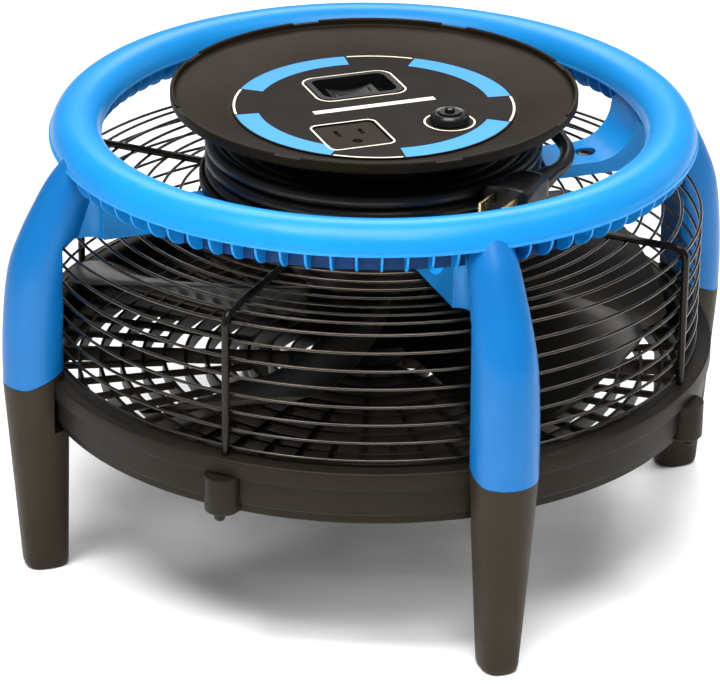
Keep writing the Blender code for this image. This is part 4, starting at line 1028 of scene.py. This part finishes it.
def make_dish():
    """The dished panel with its thin lip, broken by eight gaps."""
    rim_floor = DISH_HIGH.z - 0.0038
    wide = DISH_RADIUS
    top = DISH_HIGH.z
    profile = [(0.0, PANEL_TOP), (LABEL_RADIUS + 0.0006, PANEL_TOP),
               (LABEL_RADIUS + 0.0014, PANEL_TOP + 0.0001),
               (LABEL_RADIUS + 0.0024, PANEL_TOP + 0.0006), (wide - 0.0052, rim_floor - 0.0003),
               (wide - 0.0038, rim_floor), (wide - 0.0028, rim_floor + 0.0004),
               (wide - 0.0023, rim_floor + 0.0010), (wide - 0.0021, top - 0.0005),
               (wide - 0.0016, top), (wide - 0.0005, top), (wide, top - 0.0005),
               (wide, rim_floor - 0.0008), (wide - 0.0006, rim_floor - 0.0018),
               (wide - 0.0020, rim_floor - 0.0026), (LABEL_RADIUS + 0.0020, DISH_LOW.z),
               (0.0, DISH_LOW.z)]
    dish = mesh_from(lathe(profile, 200, False), "dish_moulding", 26)
    cut(dish, opening_cutters())
    gaps = bmesh.new()
    for i in range(8):
        spot = turn(45.0 * i) @ shift(wide, 0, top + 0.0015)
        rounded_box(gaps, (0.0096, 0.0150, 0.0052), spot, 0.0008, 2)
    cut(dish, mesh_from(gaps, "lip_gaps"))
    finish_piece(dish, PANEL, stands_for=("top_dish",))
    dress("control_label", LABEL)


def make_switch():
    """The rocker: a saddle on a round back, with a ridge near each end."""
    dress("switch_housing", GLOSS, 0.0007)
    pivot = Vector((*SWITCH_CENTRE, LABEL_TOP - 0.0085))
    half, crown, dip, steps = 0.0128, 0.0052, 0.0022, 12
    outline = [(-half, crown), (-half - 0.0008, 0.0020)] + arc((0.0, -0.0005), 0.0080, 215, 325, 18)
    outline += [(half + 0.0008, 0.0020), (half, crown)]
    outline += [(half - 2 * half * i / steps, crown - dip + dip * (2 * i / steps - 1) ** 2)
                for i in range(1, steps)]
    spot = Matrix.Translation(pivot) @ UPRIGHT
    rocker = bevel(mesh_from(prism(outline, 0.0190, spot), "rocker_moulding"), 0.0005)
    finish_piece(rocker, GLOSS, "rocker", ("switch_rocker",))
    bm = bmesh.new()
    for hand in (-1, 1):
        ridge = Matrix.Translation(pivot + Vector((hand * 0.0098, 0, 0.0044)))
        rounded_box(bm, (0.0010, 0.0110, 0.0008), ridge, 0.0003, 2)
    ridges = mesh_from(bm, "rocker_ridges")
    finish_piece(ridges, GLOSS, "rocker")


def make_outlet():
    """The mains outlet, with brass contacts inside its slots."""
    dress("outlet_receptacle", PANEL, 0.0004)
    x, y = OUTLET_CENTRE
    top = PANEL_TOP - 0.0008
    deep = 0.006
    slot_reach = 0.00635                  # half the distance between the two slots
    bm = bmesh.new()
    for hand, length in ((-1, 0.0088), (1, 0.0072)):
        for edge in (-1, 1):
            spot = shift(x + hand * slot_reach + edge * 0.0008, y + 0.0045, top - deep / 2)
            rounded_box(bm, (0.0003, length - 0.0012, deep), spot, 0.0001, 1)
    lathe([(0.0026, top), (0.0026, top - deep), (0.0022, top - deep), (0.0022, top)], 24, True, bm,
          shift(x, y - 0.0074))
    contacts = mesh_from(bm, "outlet_contacts")
    finish_piece(contacts, BRASS)


def make_breaker():
    """The knurled nut, the neck that stands in it, and the button."""
    x, y = BREAKER_CENTRE
    bm = bmesh.new()
    teeth = 40
    sections = []
    for height, radius, tooth in ((0.0003, 0.0096, 0.0), (0.0006, 0.0098, 0.0003),
                                  (0.0030, 0.0096, 0.0003), (0.0040, 0.0090, 0.0),
                                  (0.0050, 0.0080, 0.0), (0.0052, 0.0076, 0.0),
                                  (0.0048, BREAKER_NECK, 0.0), (0.0003, BREAKER_NECK, 0.0)):
        loop = []
        for j, (c, s) in enumerate(circle(teeth * 2)):
            reach = radius + (tooth if j % 2 else -tooth)
            loop.append(Vector((x + reach * c, y + reach * s, LABEL_TOP + height)))
        sections.append(loop)
    loft(sections + [sections[0]], bm, caps=False)
    bmesh.ops.remove_doubles(bm, verts=bm.verts, dist=1e-6)
    nut = mesh_from(bm, "nut_moulding", 30)
    finish_piece(nut, GLOSS, stands_for=("breaker_nut",))
    dress("breaker_body", GLOSS, 0.0003)
    dress("breaker_button", GLOSS, 0.0004)


# ---- floor and light
def make_stage():
    """A plain pale floor."""
    mesh = bpy.data.meshes.new("floor")
    half = 14.0
    mesh.from_pydata([(-half, -half, 0), (half, -half, 0), (half, half, 0), (-half, half, 0)], [],
                     [(0, 1, 2, 3)])
    floor = add_object("floor", mesh)
    paint = Shader("floor_paint", 0.9, specular=0.1)
    paint.colour((0.98, 0.98, 0.98, 1.0))
    mesh.materials.append(paint.material)


def make_light(name, place, target, size, power, colour=(1.0, 1.0, 1.0), spread=180.0):
    """A soft rectangle of light at a place, turned to a target."""
    data = bpy.data.lights.new(name, "AREA")
    data.shape = "RECTANGLE"
    data.size, data.size_y = size
    data.energy = power
    data.spread = math.radians(spread)
    data.color = colour
    lamp = add_object(name, data)
    lamp.location = place
    lamp.rotation_mode = "QUATERNION"
    lamp.rotation_quaternion = (Vector(target) - Vector(place)).to_track_quat("-Z", "Y")


def make_lights():
    """The studio: a dim white world, four boxes round the machine and three over the floor."""
    world = bpy.data.worlds.new("studio")
    world.use_nodes = True
    sky = world.node_tree.nodes["Background"]
    sky.inputs["Color"].default_value = (1.0, 1.0, 1.0, 1.0)
    sky.inputs["Strength"].default_value = 0.26
    bpy.context.scene.world = world
    middle = (0.0, 0.0, 0.15)
    make_light("top_box", (-0.14, -0.32, 1.25), middle, (0.8, 0.5), 14.5)
    make_light("back_box", (0.40, 1.15, 1.40), (0.40, 0.90, 0.0), (1.4, 0.8), 26.0)
    make_light("left_box", (-1.60, 0.10, 0.70), middle, (0.5, 1.0), 0.8)
    make_light("right_box", (1.50, 0.20, 0.75), middle, (0.5, 1.0), 1.4, (1.0, 0.96, 0.90))
    small = (0.6, 0.6)
    make_light("floor_left", (-0.85, -0.45, 1.30), (-0.62, -0.50, 0.0), small, 6.5, spread=60.0)
    make_light("floor_right", (0.85, -0.30, 1.30), (0.65, -0.35, 0.0), small, 3.0, spread=60.0)
    make_light("floor_front", (-0.25, -1.05, 1.30), (-0.20, -0.70, 0.0), small, 3.0, spread=55.0)
    bpy.context.scene.view_settings.view_transform = "Standard"


# ---- everything
make_camera()
power_cord, cord_exit = make_cord()
plug_pieces = make_plug()
make_handle()
make_ribs()
make_legs()
make_arms()
make_screw_heads()
make_feet()
make_base()
make_grille()
make_guard()
make_motor()
make_fan()
make_reel()
make_dish()
make_switch()
make_outlet()
make_breaker()
make_stage()
make_lights()
